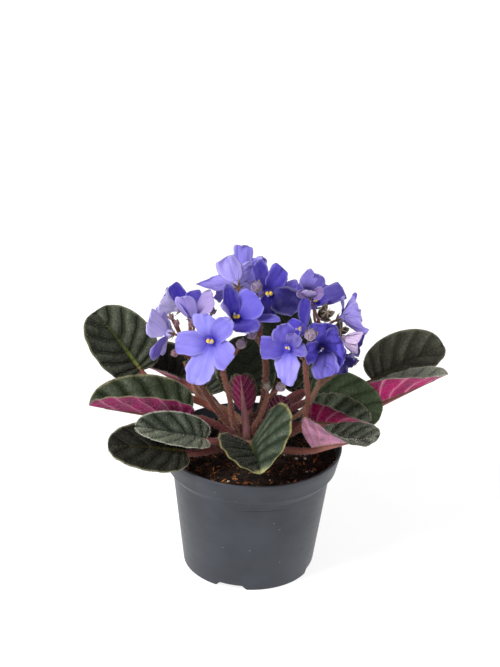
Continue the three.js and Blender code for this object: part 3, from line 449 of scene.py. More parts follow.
def leaf_top():
    """The velvet upper face of an African violet leaf: dark olive, quilted between sunken side veins,
    silvered by short hairs, with painted highlight and shade on its swellings and painted shade along its
    sunken veins, and with a pale midrib that reddens at its joint."""
    made, add, where = material("velvet_leaf_top", IOR=1.4, Specular_IOR_Level=0.16, Sheen_Weight=0.04,
                                Sheen_Roughness=0.45, Sheen_Tint="#dfe6d6")
    along, across = surface_place(add)
    out = outwards(add, across)
    count = counted_veins(add, along, where)
    vein = add("PINGPONG", count, 0.5)
    swell = add("FRACT", count)
    rib_tint = add("Attribute", attribute_name="rib")
    rib_strength = add("Attribute", attribute_name="rib", out="Alpha")
    # Hairs too fine to model are drawn as a stipple about three times their real size.
    stipple = add("TexNoise", where, grains(0.9), 3, 0.7)
    patches = add("TexNoise", where, grains(13), 2)
    # Painted highlight and shade: each swelling is painted lit on its far side and dark on its near side.
    silver_and_highlight = add("MapRange", swell, 0.1, 0.66, 0.1, 1.0)
    silver_and_highlight = add("MULTIPLY", silver_and_highlight, add("MapRange", swell, 1.0, 0.7, 0.1, 1.0))
    silver_and_highlight = add("MULTIPLY", silver_and_highlight, add("MapRange", patches, 0.32, 0.62, 0.3, 1.0))
    silver_and_highlight = add("MULTIPLY", silver_and_highlight, add("MapRange", out, 0.04, 0.22))
    silver_and_highlight = add("MULTIPLY", silver_and_highlight, add("MapRange", stipple, 0.35, 0.65, 0.35, 1.0))
    silver_and_highlight = add("MULTIPLY", silver_and_highlight, add("Attribute", attribute_name="tint", out="Alpha"))
    # The pale colour mixed in here is both the hairs' own silvering and the painted highlight.
    colour = add("Mix", silver_and_highlight, add("Attribute", attribute_name="tint"), "#8f9781")
    net = add("TexVoronoi", where, grains(3.2), feature="DISTANCE_TO_EDGE")
    colour = add("Mix", add("MapRange", net, 0.0, 0.12, 0.3, 0.0), colour, "#0e120b")
    # Painted shade: a dark band along each sunken side vein stands for the shade in its groove.
    colour = add("Mix", add("MapRange", vein, 0.02, 0.16, 0.45, 0.0), colour, "#10120b")
    colour = add("Mix", add("MapRange", vein, 0.01, 0.03, 0.3, 0.0), colour, "#5d6848")
    rib = add("MULTIPLY", add("MapRange", out, 0.03, 0.085, 1.0, 0.0), rib_strength)
    rib = add("MULTIPLY", rib, add("MapRange", along, 0.1, 0.7, 1.0, 0.12))
    ribbed = add("Mix", add("MapRange", along, 0.09, 0.24), "#b5694e", rib_tint)
    colour = add("Mix", rib, colour, ribbed)
    glow = add("MULTIPLY", add("MapRange", out, 0.05, 0.4, 0.45, 0.0), rib_strength)
    glow = add("MULTIPLY", glow, add("MapRange", along, 0.05, 0.34, 1.0, 0.0))
    colour = add("Mix", glow, colour, "#56622a")
    relief = add("ADD", add("MapRange", vein, 0.0, 0.2), add("MULTIPLY", stipple, 0.5))
    relief = add("ADD", relief, add("MULTIPLY", add("MapRange", net, 0.0, 0.3), 0.6))
    return finish(made, colour, relief, 0.6, add("MapRange", stipple, 0.3, 0.7, 0.48, 0.66))


def leaf_underside():
    """The smooth underside: wine to magenta, with raised pale pink veins and a fine net between them."""
    made, add, where = material("leaf_underside", IOR=1.4, Specular_IOR_Level=0.15, Sheen_Weight=0.02,
                                Sheen_Roughness=0.5, Sheen_Tint="#ffd9e4")
    along, across = surface_place(add)
    vein = add("PINGPONG", counted_veins(add, along, where), 0.5)
    patches = add("TexNoise", where, grains(11), 3)
    net = add("TexVoronoi", where, grains(3.5), feature="DISTANCE_TO_EDGE")
    tint = add("Attribute", attribute_name="tint")
    paleness = add("Attribute", attribute_name="rib", out="Alpha")
    colour = add("Mix", add("MapRange", patches, 0.35, 0.65), add("Mix", 0.55, tint, "#3a0620"), tint)
    colour = add("Mix", add("MapRange", net, 0.0, 0.08, 0.1, 0.0), colour, "#e79ab4")
    glow = add("MULTIPLY", add("MapRange", vein, 0.06, 0.18, 0.35, 0.0), paleness)
    colour = add("Mix", glow, colour, "#e08aa6")
    line = add("MapRange", vein, 0.015, 0.05, 1.0, 0.0)
    line = add("MULTIPLY", line, add("MapRange", paleness, 0.0, 1.0, 0.15, 0.7))
    colour = add("Mix", line, colour, "#d895a6")
    rib = add("MapRange", outwards(add, across), 0.05, 0.12, 0.8, 0.0)
    colour = add("Mix", rib, colour, add("Attribute", attribute_name="rib"))
    relief = add("SUBTRACT", add("MapRange", net, 0.0, 0.2), add("MapRange", vein, 0.0, 0.12))
    return finish(made, colour, relief, 0.4, add("MapRange", patches, 0.3, 0.7, 0.4, 0.55))


def leaf_stalk():
    """The fleshy stalks of leaves and flowers: wine-brown, satin under their hairs, with long streaks."""
    made, add, where = material("fleshy_stalk", IOR=1.4, Specular_IOR_Level=0.2, Subsurface_Weight=0.15,
                                Subsurface_Radius=(0.003, 0.0012, 0.001), Sheen_Weight=0.08,
                                Sheen_Roughness=0.5, Sheen_Tint="#ffdccf")
    along, across = surface_place(add)
    tint = add("Attribute", attribute_name="tint")
    place = add("CombineXYZ", add("MULTIPLY", along, 3.0), add("MULTIPLY", across, 9.0))
    streaks = add("TexNoise", place, 2.0, 3.0)
    spots = mottle(add, where, 1.2, 2, 0.5, 0.75, 0.0, 0.35)
    streaked = add("Mix", 0.3, tint, "#c98f78")
    colour = add("Mix", add("MapRange", streaks, 0.35, 0.65, 0.0, 0.3), tint, streaked)
    colour = add("Mix", 0.2, add("Mix", spots, colour, "#3e2320"), "#6a5648")
    relief = add("ADD", streaks, add("TexNoise", where, grains(0.8), 2))
    return finish(made, colour, relief, 0.25, add("MapRange", streaks, 0.3, 0.7, 0.45, 0.65))


def plant_hair():
    """Soft hairs: clear, so they catch light and look nearly white."""
    made, add, _ = material("soft_hair", IOR=1.4, Roughness=0.4, Specular_IOR_Level=0.5)
    return finish(made, add("Attribute", attribute_name="tint"))


def petal():
    """A petal: thin, satin and slightly see-through, with fine veins that run out from the throat, and
    cells that glitter."""
    made, add, where = material("violet_petal", IOR=1.35, Specular_IOR_Level=0.35, Subsurface_Weight=0.25,
                                Subsurface_Radius=(0.0012, 0.001, 0.002), Sheen_Weight=0.25,
                                Sheen_Roughness=0.4, Sheen_Tint="#cfc8ff")
    along, across = surface_place(add)
    tint = add("Attribute", attribute_name="tint")
    fan = add("CombineXYZ", add("MULTIPLY", along, 1.6), add("MULTIPLY", across, 11.0))
    veins = add("TexNoise", fan, 1.6, 4.0, Distortion=0.4)
    pale = mottle(add, where, 8, 2, 0.45, 0.75, 0.0, 0.12)
    rim = add("MapRange", outwards(add, across), 0.955, 0.99, 0.0, 0.5)
    rim = add("MULTIPLY", rim, add("MapRange", along, 0.97, 0.9))
    veined = add("Mix", 0.45, tint, "#2a1c98")
    colour = add("Mix", add("MapRange", veins, 0.42, 0.62, 0.0, 0.28), tint, veined)
    colour = add("Mix", pale, colour, "#b9b0ff")
    colour = add("Mix", rim, colour, add("Mix", 0.6, tint, "#2a1c98"))
    cells = add("TexNoise", where, grains(0.6), 2)
    relief = add("ADD", add("MULTIPLY", veins, 1.4), add("MULTIPLY", cells, 0.4))
    return finish(made, colour, relief, 0.3, add("MapRange", veins, 0.3, 0.7, 0.5, 0.68))


def sepal():
    """Sepals: brown-green, mottled with paler down, and dull."""
    made, add, where = material("hairy_sepal", Specular_IOR_Level=0.35, Roughness=0.7, Sheen_Weight=0.4,
                                Sheen_Roughness=0.5, Sheen_Tint="#d9c3b4")
    tint = add("Attribute", attribute_name="tint")
    down = mottle(add, where, 1.4, 3, 0.4, 0.65)
    colour = add("Mix", down, tint, add("Mix", 0.5, tint, "#7c6a55"))
    return finish(made, colour, add("TexNoise", where, grains(0.6), 3), 0.25)


def bud_skin():
    """A closed bud: petals rolled tight, pinkish lilac with darker folds and a downy skin."""
    made, add, where = material("downy_bud", Specular_IOR_Level=0.35, Roughness=0.6, Subsurface_Weight=0.2,
                                Subsurface_Radius=(0.0015, 0.001, 0.0015), Sheen_Weight=0.4,
                                Sheen_Roughness=0.5, Sheen_Tint="#f4e4f0")
    along, across = surface_place(add)
    fold = add("PINGPONG", add("ADD", add("MULTIPLY", across, 5.0), along), 0.5)
    down = mottle(add, where, 1.0, 3, 0.5, 0.7, 0.0, 0.5)
    tint = add("Attribute", attribute_name="tint")
    colour = add("Mix", add("MapRange", fold, 0.0, 0.12, 0.7, 0.0), tint, "#5c4468")
    return finish(made, add("Mix", down, colour, "#e6d3dc"), add("MapRange", fold, 0.0, 0.15), 0.4)


def pollen():
    """Ripe anthers: waxy bright yellow with a paler dusting."""
    made, add, where = material("yellow_anther", Roughness=0.5, Specular_IOR_Level=0.45,
                                Subsurface_Weight=0.2, Subsurface_Radius=(0.0015, 0.001, 0.0004))
    dust = mottle(add, where, 0.9, 3, 0.35, 0.65)
    colour = add("Mix", dust, "#d9a412", "#f3dc55")
    return finish(made, colour, add("TexNoise", where, grains(0.4), 2), 0.12)


def backdrop_paper():
    """Matt white studio paper, lit through a little from behind."""
    made, add, where = material("white_backdrop_paper", Roughness=0.95, Specular_IOR_Level=0.1,
                                Emission_Color="#ffffff", Emission_Strength=0.82)
    return finish(made, add("Mix", add("TexNoise", where, grains(400), 1), "#a8a8a8", "#acacac"))


POT, SOIL, BARK, PERLITE, CROWN = polypropylene_pot(), peat_soil(), bark_chips(), perlite(), crown_bark()
TOP, UNDER, FLESH, HAIR, PETAL = leaf_top(), leaf_underside(), leaf_stalk(), plant_hair(), petal()
SEPAL, BUD, POLLEN, PAPER = sepal(), bud_skin(), pollen(), backdrop_paper()


# Shapes

def start_mesh():
    """An empty mesh with a layer for the place on a sheet and one for its colour."""
    bm = bmesh.new()
    bm.loops.layers.uv.new("place")
    bm.loops.layers.float_color.new("tint")
    return bm


def sheet(bm, rows, columns, place, look, tint, flip=False):
    """Lays a flat grid over a surface. place(a, b) is its point in mm, where a goes down the rows and b
    across them from 0 to 1, and tint(a, b) its colour."""
    uv = bm.loops.layers.uv["place"]
    paint = bm.loops.layers.float_color["tint"]
    made = bmesh.ops.create_grid(bm, x_segments=rows, y_segments=columns, size=0.5)["verts"]
    faces = {face for vert in made for face in vert.link_faces}
    for face in faces:
        face.material_index = look
        face.smooth = True
        for loop in face.loops:
            a, b = loop.vert.co.x + 0.5, loop.vert.co.y + 0.5
            loop[uv].uv = (a, b)
            loop[paint] = tint(a, b)
    for vert in made:
        vert.co = place(vert.co.x + 0.5, vert.co.y + 0.5)
    if flip:
        bmesh.ops.reverse_faces(bm, faces=list(faces))
    return made


def close(bm, verts, reach=1e-4):
    """Merges what meets and takes out the faces that this leaves with no area."""
    bmesh.ops.remove_doubles(bm, verts=verts, dist=reach)
    edges = {edge for vert in verts if vert.is_valid for edge in vert.link_edges}
    bmesh.ops.dissolve_degenerate(bm, dist=reach, edges=list(edges))


def blade(bm, rows, columns, place, looks, tints):
    """Lays the two faces of a thin blade back to back. place(way, a, b) is a point of the face that
    looks up, where way is 1, or down, where it is -1."""
    verts = []
    for way, look, tint in zip((1, -1), looks, tints):
        verts += sheet(bm, rows, columns, functools.partial(place, way), look, tint, flip=way < 0)
    close(bm, verts)


def half_thickness(thickness, s, t, taper):
    """Half a blade's thickness, rounded off at its sides, and over its two ends the longer the smaller
    its taper is."""
    return thickness / 2 * max(1 - abs(t) ** 8, 0) ** 0.5 * min(1, taper * math.sin(math.pi * s)) ** 0.5


def tube(bm, path, radii, sides, look, tint):
    """A round stem along the path, closed at both ends. Returns the directions at its rings."""
    count = len(path) - 1
    normal = Vector((0.3, 1, 0.2))
    frames = []
    for i, point in enumerate(path):
        along = (path[min(i + 1, count)] - path[max(i - 1, 0)]).normalized()
        normal = (normal - along * normal.dot(along)).normalized()
        frames.append((normal, along.cross(normal), along))

    def place(a, b):
        row = round(a * (count + 2))
        i = min(max(row - 1, 0), count)
        radius = 0 if row in (0, count + 2) else radii[i]
        turn = 2 * math.pi * b
        return path[i] + frames[i][0] * (radius * math.cos(turn)) + frames[i][1] * (radius * math.sin(turn))

    close(bm, sheet(bm, count + 2, sides, place, look, tint))
    return frames


def hair(bm, root, way, length, look, colour, width=HAIR_WIDTH):
    """One hair: three corners at its root and one at its tip."""
    side = way.orthogonal().normalized()
    other = way.cross(side)
    points = [root + (side * math.cos(turn) + other * math.sin(turn)) * (width / 2)
              for turn in (0, 2.094, 4.189)]
    a, b, c, tip = [bm.verts.new(point) for point in points + [root + way * length]]
    paint = bm.loops.layers.float_color["tint"]
    for corners in ((a, b, tip), (b, c, tip), (c, a, tip), (c, b, a)):
        face = bm.faces.new(corners)
        face.material_index = look
        for loop in face.loops:
            loop[paint] = colour


def tube_hairs(bm, path, radii, frames, density, length, look, colour, chance):
    """Hairs that stand out all round a stem, density to a square millimetre."""
    for i in range(len(path) - 1):
        run = path[i + 1] - path[i]
        count = density * run.length * 2 * math.pi * radii[i]
        for _ in range(int(count) + (chance.random() < count % 1)):
            turn, share = chance.uniform(0, 2 * math.pi), chance.random()
            out = frames[i][0] * math.cos(turn) + frames[i][1] * math.sin(turn)
            root = path[i] + run * share + out * (radii[i] * 0.93)
            way = out + frames[i][2] * chance.uniform(-0.3, 0.5)
            way = (way + Vector((0, 0, chance.uniform(-0.2, 0.2)))).normalized()
            hair(bm, root, way, length * chance.uniform(0.6, 1.2), look, colour)


def piece(name, bm, looks, node_name):
    """Makes the finished mesh, in metres, an object that stands for a node of the frame."""
    bmesh.ops.recalc_face_normals(bm, faces=bm.faces)
    bmesh.ops.scale(bm, vec=(0.001, 0.001, 0.001), verts=bm.verts)
    mesh = bpy.data.meshes.new(name)
    bm.to_mesh(mesh)
    bm.free()
    made = bpy.data.objects.new(name, mesh)
    bpy.context.scene.collection.objects.link(made)
    for look in looks:
        mesh.materials.append(look)
    if node_name:
        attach(made, "root")
        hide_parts(node_name)
    return made


def bezier(a, b, c, d, steps):
    """Points of the curve from a to d that sets off towards b and arrives from c."""
    points = []
    for i in range(steps + 1):
        t = i / steps
        points.append(a * (1 - t) ** 3 + b * (3 * t * (1 - t) ** 2) + c * (3 * t * t * (1 - t)) + d * t ** 3)
    return points


def about_axis(radius, turn, z=0.0):
    """The point at a radius from the pot's axis, a turn in radians and a height."""
    return Vector((radius * math.cos(turn), radius * math.sin(turn), z))


def crown_root(azimuth, height, rise):
    """Where a stalk leaves the crown, and its direction there, rise degrees up from level."""
    lift = math.radians(rise)
    outward = about_axis(1, math.radians(azimuth))
    root = CROWN_AT + outward * (CROWN_RADIUS - ROOT_DEPTH)
    root.z = SOIL_Z + height
    return root, outward * math.cos(lift) + Vector((0, 0, math.sin(lift)))


# Leaves

def leaf_frame(leaf):
    """A leaf's joint and axes, the bend of its midrib and the midrib's own length."""
    joint = Vector(leaf["joint"])
    chord = Vector(leaf["tip"]) - joint
    along = chord.normalized()
    face = Vector(leaf["face"])
    up = (face - along * face.dot(along)).normalized()
    bend = math.radians(leaf["bend"] or 0.01)
    length = chord.length * (bend / 2) / math.sin(bend / 2)
    return dict(joint=joint, along=along, up=up, left=up.cross(along), bend=bend, length=length)


def midrib(fr, u):
    """The midrib's point, its direction and its upward normal at u mm from the joint."""
    rate = fr["bend"] / fr["length"]
    angle = fr["bend"] / 2 - rate * u
    run = (math.sin(fr["bend"] / 2) - math.sin(angle)) / rate
    rise = (math.cos(angle) - math.cos(fr["bend"] / 2)) / rate
    return (fr["joint"] + fr["along"] * run + fr["up"] * rise,
            fr["along"] * math.cos(angle) + fr["up"] * math.sin(angle),
            fr["up"] * math.cos(angle) - fr["along"] * math.sin(angle))


def blade_point(leaf, fr, s, t, side, offset):
    """The blade's point at share s along it and t out from the midrib, offset along its normal."""
    turn = math.pi * s
    length = fr["length"]
    half_width = leaf["width"] / 2 * (1 + side * leaf["lean"])
    lobe = leaf["lobe"] * math.sin(turn) * math.exp(-1.6 * turn)
    edge_u = length * ((1 - math.cos(turn)) / 2 - lobe)
    edge_v = half_width * max(math.sin(turn), 0) ** 0.8 * (1 + 0.12 * math.cos(turn))
    start = length * s ** VEIN_SWEEP
    u = start + (edge_u - start) * t ** 1.4
    across = edge_v * t / half_width
    half = 0 if side > 0 else 1
    relax = 1 - leaf["relax"] * min(max(u / length, 0), 1)
    fold = math.radians(leaf["fold"][half]) * relax
    curl = math.radians(leaf["curl"][half] or 0.01) * relax
    run = half_width * (math.sin(fold + curl * across) - math.sin(fold)) / curl
    rise = half_width * (math.cos(fold) - math.cos(fold + curl * across)) / curl
    point, _, normal = midrib(fr, u)
    tilt = (fold + curl * across) * smooth(0, 0.12, t)
    cell = abs(math.sin(math.pi * SIDE_VEINS * s))
    quilt = math.sin(math.pi * t ** 0.75) * (cell ** 0.7 - 0.6)
    quilt += 0.35 * t ** 4 * math.sin(2 * math.pi * SIDE_VEINS * s)
    offset += leaf["quilt"] * quilt * min(1, 3 * math.sin(math.pi * s)) * leaf["width"] / 50
    return (point + fr["left"] * (side * run) + normal * rise
            + (normal * math.cos(tilt) - fr["left"] * (side * math.sin(tilt))) * offset)


def leaf_piece(leaf, seed):
    """A leaf: its two-faced blade, the stalk that runs on under it as the midrib, and their hairs."""
    chance = random.Random(seed)
    fr = leaf_frame(leaf)
    tops = [linear(colour)[:3] + (silver_and_highlight,) for colour, silver_and_highlight in zip(leaf["top"], leaf["silver_and_highlight"])]
    under, margin = linear(leaf["blush"]), linear(leaf["margin"])[:3] + (0,)
    pale_tip = linear(leaf.get("pale_tip", leaf["margin"]))[:3] + (0,)
    rib_tint = linear(leaf["rib"][0])[:3] + (leaf["rib"][1],)
    top_look, under_look, flesh_look, hair_look = range(4)
    bm = start_mesh()
    rib_paint = bm.loops.layers.float_color.new("rib")

    def side_of(b):
        """Which side of the midrib share b across lies on, and how far out."""
        x = 2 * b - 1
        return (1 if x > 0 else -1), 1 - (1 - min(abs(x), 1)) ** 1.4

    def place(way, a, b):
        side, t = side_of(b)
        return blade_point(leaf, fr, a, t, side, way * half_thickness(BLADE_THICKNESS, a, t, 2.5))

    def edged(colour, a, b):
        edge = smooth(leaf["margin_from"], 0.99, side_of(b)[1])
        tip = smooth(0.93, 0.98, a) if "pale_tip" in leaf else 0
        return blend(blend(colour, margin, edge), pale_tip, tip)

    tints = (lambda a, b: edged(tops[0 if b > 0.5 else 1], a, b), lambda a, b: edged(under, a, b))
    blade(bm, 60, 30, place, (top_look, under_look), tints)
    uv = bm.loops.layers.uv["place"]
    for face in bm.faces:
        for loop in face.loops:
            side, t = side_of(loop[uv].uv.y)
            loop[uv].uv.y = 0.5 + side * t / 2
            loop[rib_paint] = rib_tint

    azimuth, height = leaf["root"]
    root, way = crown_root(azimuth, height, 20 + 2 * height)
    joint, tangent, normal = midrib(fr, 0)
    reach = (joint - root).length
    path = bezier(root, root + way * reach * 0.4, joint - tangent * reach * 0.3,
                  joint - normal * PETIOLE_RADIUS * 0.6, PETIOLE_STEPS)
    radii = [PETIOLE_RADIUS * (1 - 0.12 * i / PETIOLE_STEPS) for i in range(PETIOLE_STEPS + 1)]
    for share in (0.08, 0.16, 0.26, 0.36, 0.48, 0.6, 0.72, 0.84):
        point, _, normal = midrib(fr, share * fr["length"])
        radius = max(PETIOLE_RADIUS * 0.85 * (1 - share) ** 1.3, 0.35)
        path.append(point - normal * radius * 0.75)
        radii.append(radius)
    stalk = linear(leaf["stalk"])
    pale = blend(stalk, linear("#b98a84"), 0.35)
    frames = tube(bm, path, radii, 12, flesh_look, lambda a, b: blend(stalk, pale, smooth(0.55, 0.95, a)))
    petiole = path[:PETIOLE_STEPS + 1]
    tube_hairs(bm, petiole, radii, frames, PETIOLE_HAIRS, 1.4, hair_look, linear("#b09a90"), chance)

    # The hairs are as pale as the leaf's silver, which includes its painted highlight.
    down = blend(linear("#6f6a5c"), linear("#e4ddd2"), smooth(0.2, 0.95, sum(leaf["silver_and_highlight"]) / 2))
    # A blade covers about 0.8 of its length times its width, and its rim is about 2.6 lengths long.
    area = fr["length"] * leaf["width"] * 0.8
    for _ in range(int(area * BLADE_HAIRS)):
        s, side, t = chance.uniform(0.03, 0.97), chance.choice((1, -1)), chance.random() ** 0.8
        low = blade_point(leaf, fr, s, t, side, BLADE_THICKNESS * 0.35)
        high = blade_point(leaf, fr, s, t, side, BLADE_THICKNESS * 0.35 + 1)
        lean = Vector([chance.uniform(-0.5, 0.5) for _ in range(3)])
        way = (high - low + lean + fr["along"] * 0.4).normalized()
        hair(bm, low, way, chance.uniform(0.6, 1.3), hair_look, down, 0.11)
    for _ in range(int(fr["length"] * 2.6 * RIM_HAIRS)):
        s, side = chance.uniform(0.01, 0.99), chance.choice((1, -1))
        edge = blade_point(leaf, fr, s, 0.985, side, 0)
        inner = blade_point(leaf, fr, s, 0.9, side, 0)
        lean = Vector([chance.uniform(-0.5, 0.5) for _ in range(3)])
        way = ((edge - inner).normalized() + lean).normalized()
        hair(bm, edge, way, chance.uniform(0.7, 1.6), hair_look, down)
    piece("violet_" + leaf["name"], bm, [TOP, UNDER, FLESH, HAIR], leaf["name"])


# Blooms

def bloom_frame(bloom):
    """A bloom's middle, the way that it looks, and the way up in its face."""
    out = Vector(bloom["looks"]).normalized()
    up = (Vector((0, 0, 1)) - out * out.z).normalized()
    return Vector(bloom["at"]), out, up


def notching(turn, phase):
    """How far a petal's rim stands out or in at a turn round it, as a share of its size."""
    waves = ((2, 0.09, 1), (3, 0.06, 1.7), (5, 0.04, 2.3), (8, 0.03, 3.1), (13, 0.015, 0.6))
    return sum(size * math.sin(count * turn + late * phase) for count, size, late in waves)


def petal_point(fr, shape, s, t, offset, ruffle, phase, point):
    """The petal's point at share s along it and t across it; point is how far its tip narrows."""
    at, out, up = fr
    turn, length, width, lift, bend, twist = shape
    round_ = math.pi * s
    # The outline is fuller than an oval, and uneven by the bloom's ruffle.
    uneven = (notching(round_, phase) * (1 + t) + notching(-round_, phase) * (1 - t)) / 2
    uneven *= min(1.6 * ruffle, 1)
    u = length * (1 - math.cos(round_)) / 2 * (1 + uneven * s * s)
    v = width / 2 * max(math.sin(round_), 0) ** 0.62 * (1 - 0.2 * math.cos(round_)) * t * (1.06 + uneven)
    v *= 1 - point * smooth(0.35, 1.05, u / length)
    start = math.radians(lift + bend / 2)
    rate = math.radians(-(bend or 0.5)) / length
    angle = start + rate * u
    run = THROAT_RADIUS * 0.8 + (math.sin(angle) - math.sin(start)) / rate
    rise = (math.cos(start) - math.cos(angle)) / rate
    ray = Quaternion(out, math.radians(turn)) @ up
    side = out.cross(ray)
    normal = out * math.cos(angle) - ray * math.sin(angle)
    far = u / length
    wave = 1.3 * math.sin(4.2 * t + phase) * math.sin(6 * far + phase * 1.7) * far
    wave += abs(t) ** 3 * math.sin(9 * far + 5 * t + phase) * far
    wave -= 1.4 * math.exp(-(t / 0.16) ** 2) * far * (1 - far)
    wave += 0.4 * math.sin(11 * t + 2 * phase) * far
    level = offset + v * v / width * 0.35 + ruffle * wave
    wrung = math.radians(twist) * math.sqrt(max(far, 0))
    return (at + ray * run + out * rise + side * (v * math.cos(wrung) - level * math.sin(wrung))
            + normal * (v * math.sin(wrung) + level * math.cos(wrung)))


def bloom_piece(bloom, seed):
    """A bloom: its petals, its throat and, where it is open, its style, with its anthers as a piece."""
    chance = random.Random(seed)
    fr = bloom_frame(bloom)
    at, out, up = fr
    deep, back = linear(bloom["deep"]), linear(bloom["back"])
    bm = start_mesh()
    for index, (*shape, face) in enumerate(bloom["petals"]):
        phase = chance.uniform(0, 6.28)
        face_colour = linear(face)
        # Each face pales to a painted highlight along its rim and tip.
        rim = blend(face_colour, linear("#d8d0ff"), 0.3)
        behind = linear(bloom["backs"].get(index, bloom["back"]))
        point = bloom["points"].get(index, 0)

        def face_tint(a, b):
            edge = max(smooth(0.82, 1, a), smooth(0.8, 1, abs(2 * b - 1)))
            # Painted shade: dark bands along wavy folds, the stronger the more the bloom is ruffled, stand
            # for the shade in its creases.
            painted_crease_shade = math.exp(-(math.sin(4 * (2 * b - 1) + 5 * a + phase) / 0.3) ** 2) * bloom["ruffle"]
            colour = blend(deep, face_colour, smooth(0.08, 0.5, a))
            return blend(blend(colour, deep, min(1.2 * painted_crease_shade * a * (1 - a), 0.7)), rim, edge)

        def back_tint(a, b):
            keel = smooth(0.25, 0.0, abs(2 * b - 1)) * 0.25
            edge = 0.35 * smooth(0.8, 1, max(a, abs(2 * b - 1)))
            return blend(blend(behind, deep, keel * (1 - a)), linear("#e6dcff"), edge)

        def place(way, a, b):
            offset = way * half_thickness(PETAL_THICKNESS, a, 2 * b - 1, 3)
            return petal_point(fr, shape, a, 2 * b - 1, offset, bloom["ruffle"], phase, point)

        blade(bm, 24, 18, place, (0, 0), (face_tint, back_tint))
    throat = [at + out * d for d in (-4, -3, -1.8, -0.6, 0.3, 0.8)]
    thick = [1.5, 1.7, 2.1, 2.6, 3.0, 3.1]
    tube(bm, throat, thick, 16, 0, lambda a, b: blend(back, deep, smooth(0.5, 0.9, a)))
    if not bloom["shut"]:
        bend = up * chance.uniform(-0.4, 0.4) + out.cross(up) * chance.choice((-0.6, 0.6))
        style = [at + out * d + bend * (d * d / 14) for d in (0.4, 1.8, 3.2, 4.6, 5.8)]
        tube(bm, style, [0.55, 0.5, 0.45, 0.45, 0.75], 8, 0, lambda a, b: linear("#c9bfe6"))
    piece("violet_" + bloom["name"], bm, [PETAL], bloom["name"])
    if not bloom["shut"]:
        anther_piece(bloom)


def anther_piece(bloom):
    """Two anthers side by side, each of two swollen lobes with a groove between."""
    at, out, up = bloom_frame(bloom)
    side = out.cross(up)
    size = bloom["anthers"]
    bm = start_mesh()
    for way in (-1, 1):
        centre = at + side * (way * 1.25 * size) + out * 2.7
        tall = (up + side * (way * 0.25)).normalized()
        wide = out.cross(tall)

        def place(a, b):
            turn, fall = 2 * math.pi * b, math.pi * a
            groove = 1 - 0.25 * math.exp(-(math.cos(turn) / 0.25) ** 2) * max(math.sin(turn), 0)
            ring = size * math.sin(fall) ** 0.8 * groove
            hollow = wide * (-0.35 * way * size * math.cos(fall) ** 2)
            return (centre + tall * (1.5 * size * math.cos(fall)) + hollow
                    + wide * (1.2 * ring * math.cos(turn)) + out * (1.3 * ring * math.sin(turn)))

        close(bm, sheet(bm, 14, 20, place, 0, lambda a, b: linear("#e8c93a")))
    name = bloom["name"].replace("bloom", "anthers")
    piece("violet_" + name, bm, [POLLEN], name)


# Flower stalks, sepals and buds

def rounded_path(points, steps):
    """A smooth curve through the points, with its knots spaced by the root of their distances."""
    count = len(points)

    def at(share):
        p = (count - 1) * share
        i = min(int(p), count - 2)
        w = p - i
        p1, p2 = points[i], points[i + 1]
        p0 = points[i - 1] if i > 0 else p1 * 2 - p2
        p3 = points[i + 2] if i + 2 < count else p2 * 2 - p1
        d0, d1, d2 = [max((b - a).length, 1e-4) ** 0.5 for a, b in ((p0, p1), (p1, p2), (p2, p3))]
        t1 = ((p1 - p0) / d0 - (p2 - p0) / (d0 + d1) + (p2 - p1) / d1) * d1
        t2 = ((p2 - p1) / d1 - (p3 - p1) / (d1 + d2) + (p3 - p2) / d2) * d1
        return p1 + t1 * w + (p1 * -3 + p2 * 3 - t1 * 2 - t2) * w ** 2 + (p1 * 2 - p2 * 2 + t1 + t2) * w ** 3

    path = [at(i / steps) for i in range(steps + 1)]
    return path, (at(1) - at(0.9999)).normalized()


def sepals(bm, at, out, reach, width, lift, look, colour, chance, curl=0.0):
    """Five pointed, pale-rimmed sepals round a stem's end; lift is how far they stand up from flat."""
    first = Vector((0.3, 0.2, 1)).cross(out).normalized()
    rim = linear("#b5aa9c")
    for k in range(5):
        ray = Quaternion(out, 2 * math.pi * (k + 0.25) / 5 + chance.uniform(-0.15, 0.15)) @ first
        side = out.cross(ray)
        stand = math.radians(lift + chance.uniform(-8, 8))

        def place(way, a, b):
            t = 2 * b - 1
            half = width / 2 * math.sin(math.pi * min(a * 0.8 + 0.12, 1)) ** 0.9 * (1 - a) ** 0.35
            angle = stand + curl * a
            thick = way * 0.22 * max(1 - t * t, 0) ** 0.5 * (1 - a) ** 0.3 * min(1, a * 8)
            height = a * reach * math.sin(angle) + thick + 0.12 * t * t * width
            return at + ray * (0.5 + a * reach * math.cos(angle)) + out * height + side * (half * t)

        def rimmed(a, b):
            return blend(colour, rim, 0.75 * smooth(0.5, 1, max(abs(2 * b - 1), a)))

        blade(bm, 6, 6, place, (look, look), (rimmed, rimmed))


def bud(bm, at, out, radius, look, colour):
    """A closed bud: a ball that narrows to its tip."""
    first = out.orthogonal().normalized()
    other = out.cross(first)

    def place(a, b):
        turn, fall = 2 * math.pi * b + 0.8 * a, math.pi * a
        ring = radius * math.sin(fall) * (1 + 0.06 * math.cos(5 * turn)) * (1 - 0.12 * a)
        return at - out * (radius * math.cos(fall)) + (first * math.cos(turn) + other * math.sin(turn)) * ring

    close(bm, sheet(bm, 12, 20, place, look, lambda a, b: colour))


def ball_hairs(bm, at, out, radius, count, look, colour, chance):
    """Hairs that stand out all round a ball and lean a little to its tip."""
    for _ in range(count):
        way = Vector([chance.gauss(0, 1) for _ in range(3)]).normalized()
        root = at + way * radius * 0.95
        hair(bm, root, (way + out * 0.3).normalized(), chance.uniform(0.7, 1.4), look, colour)


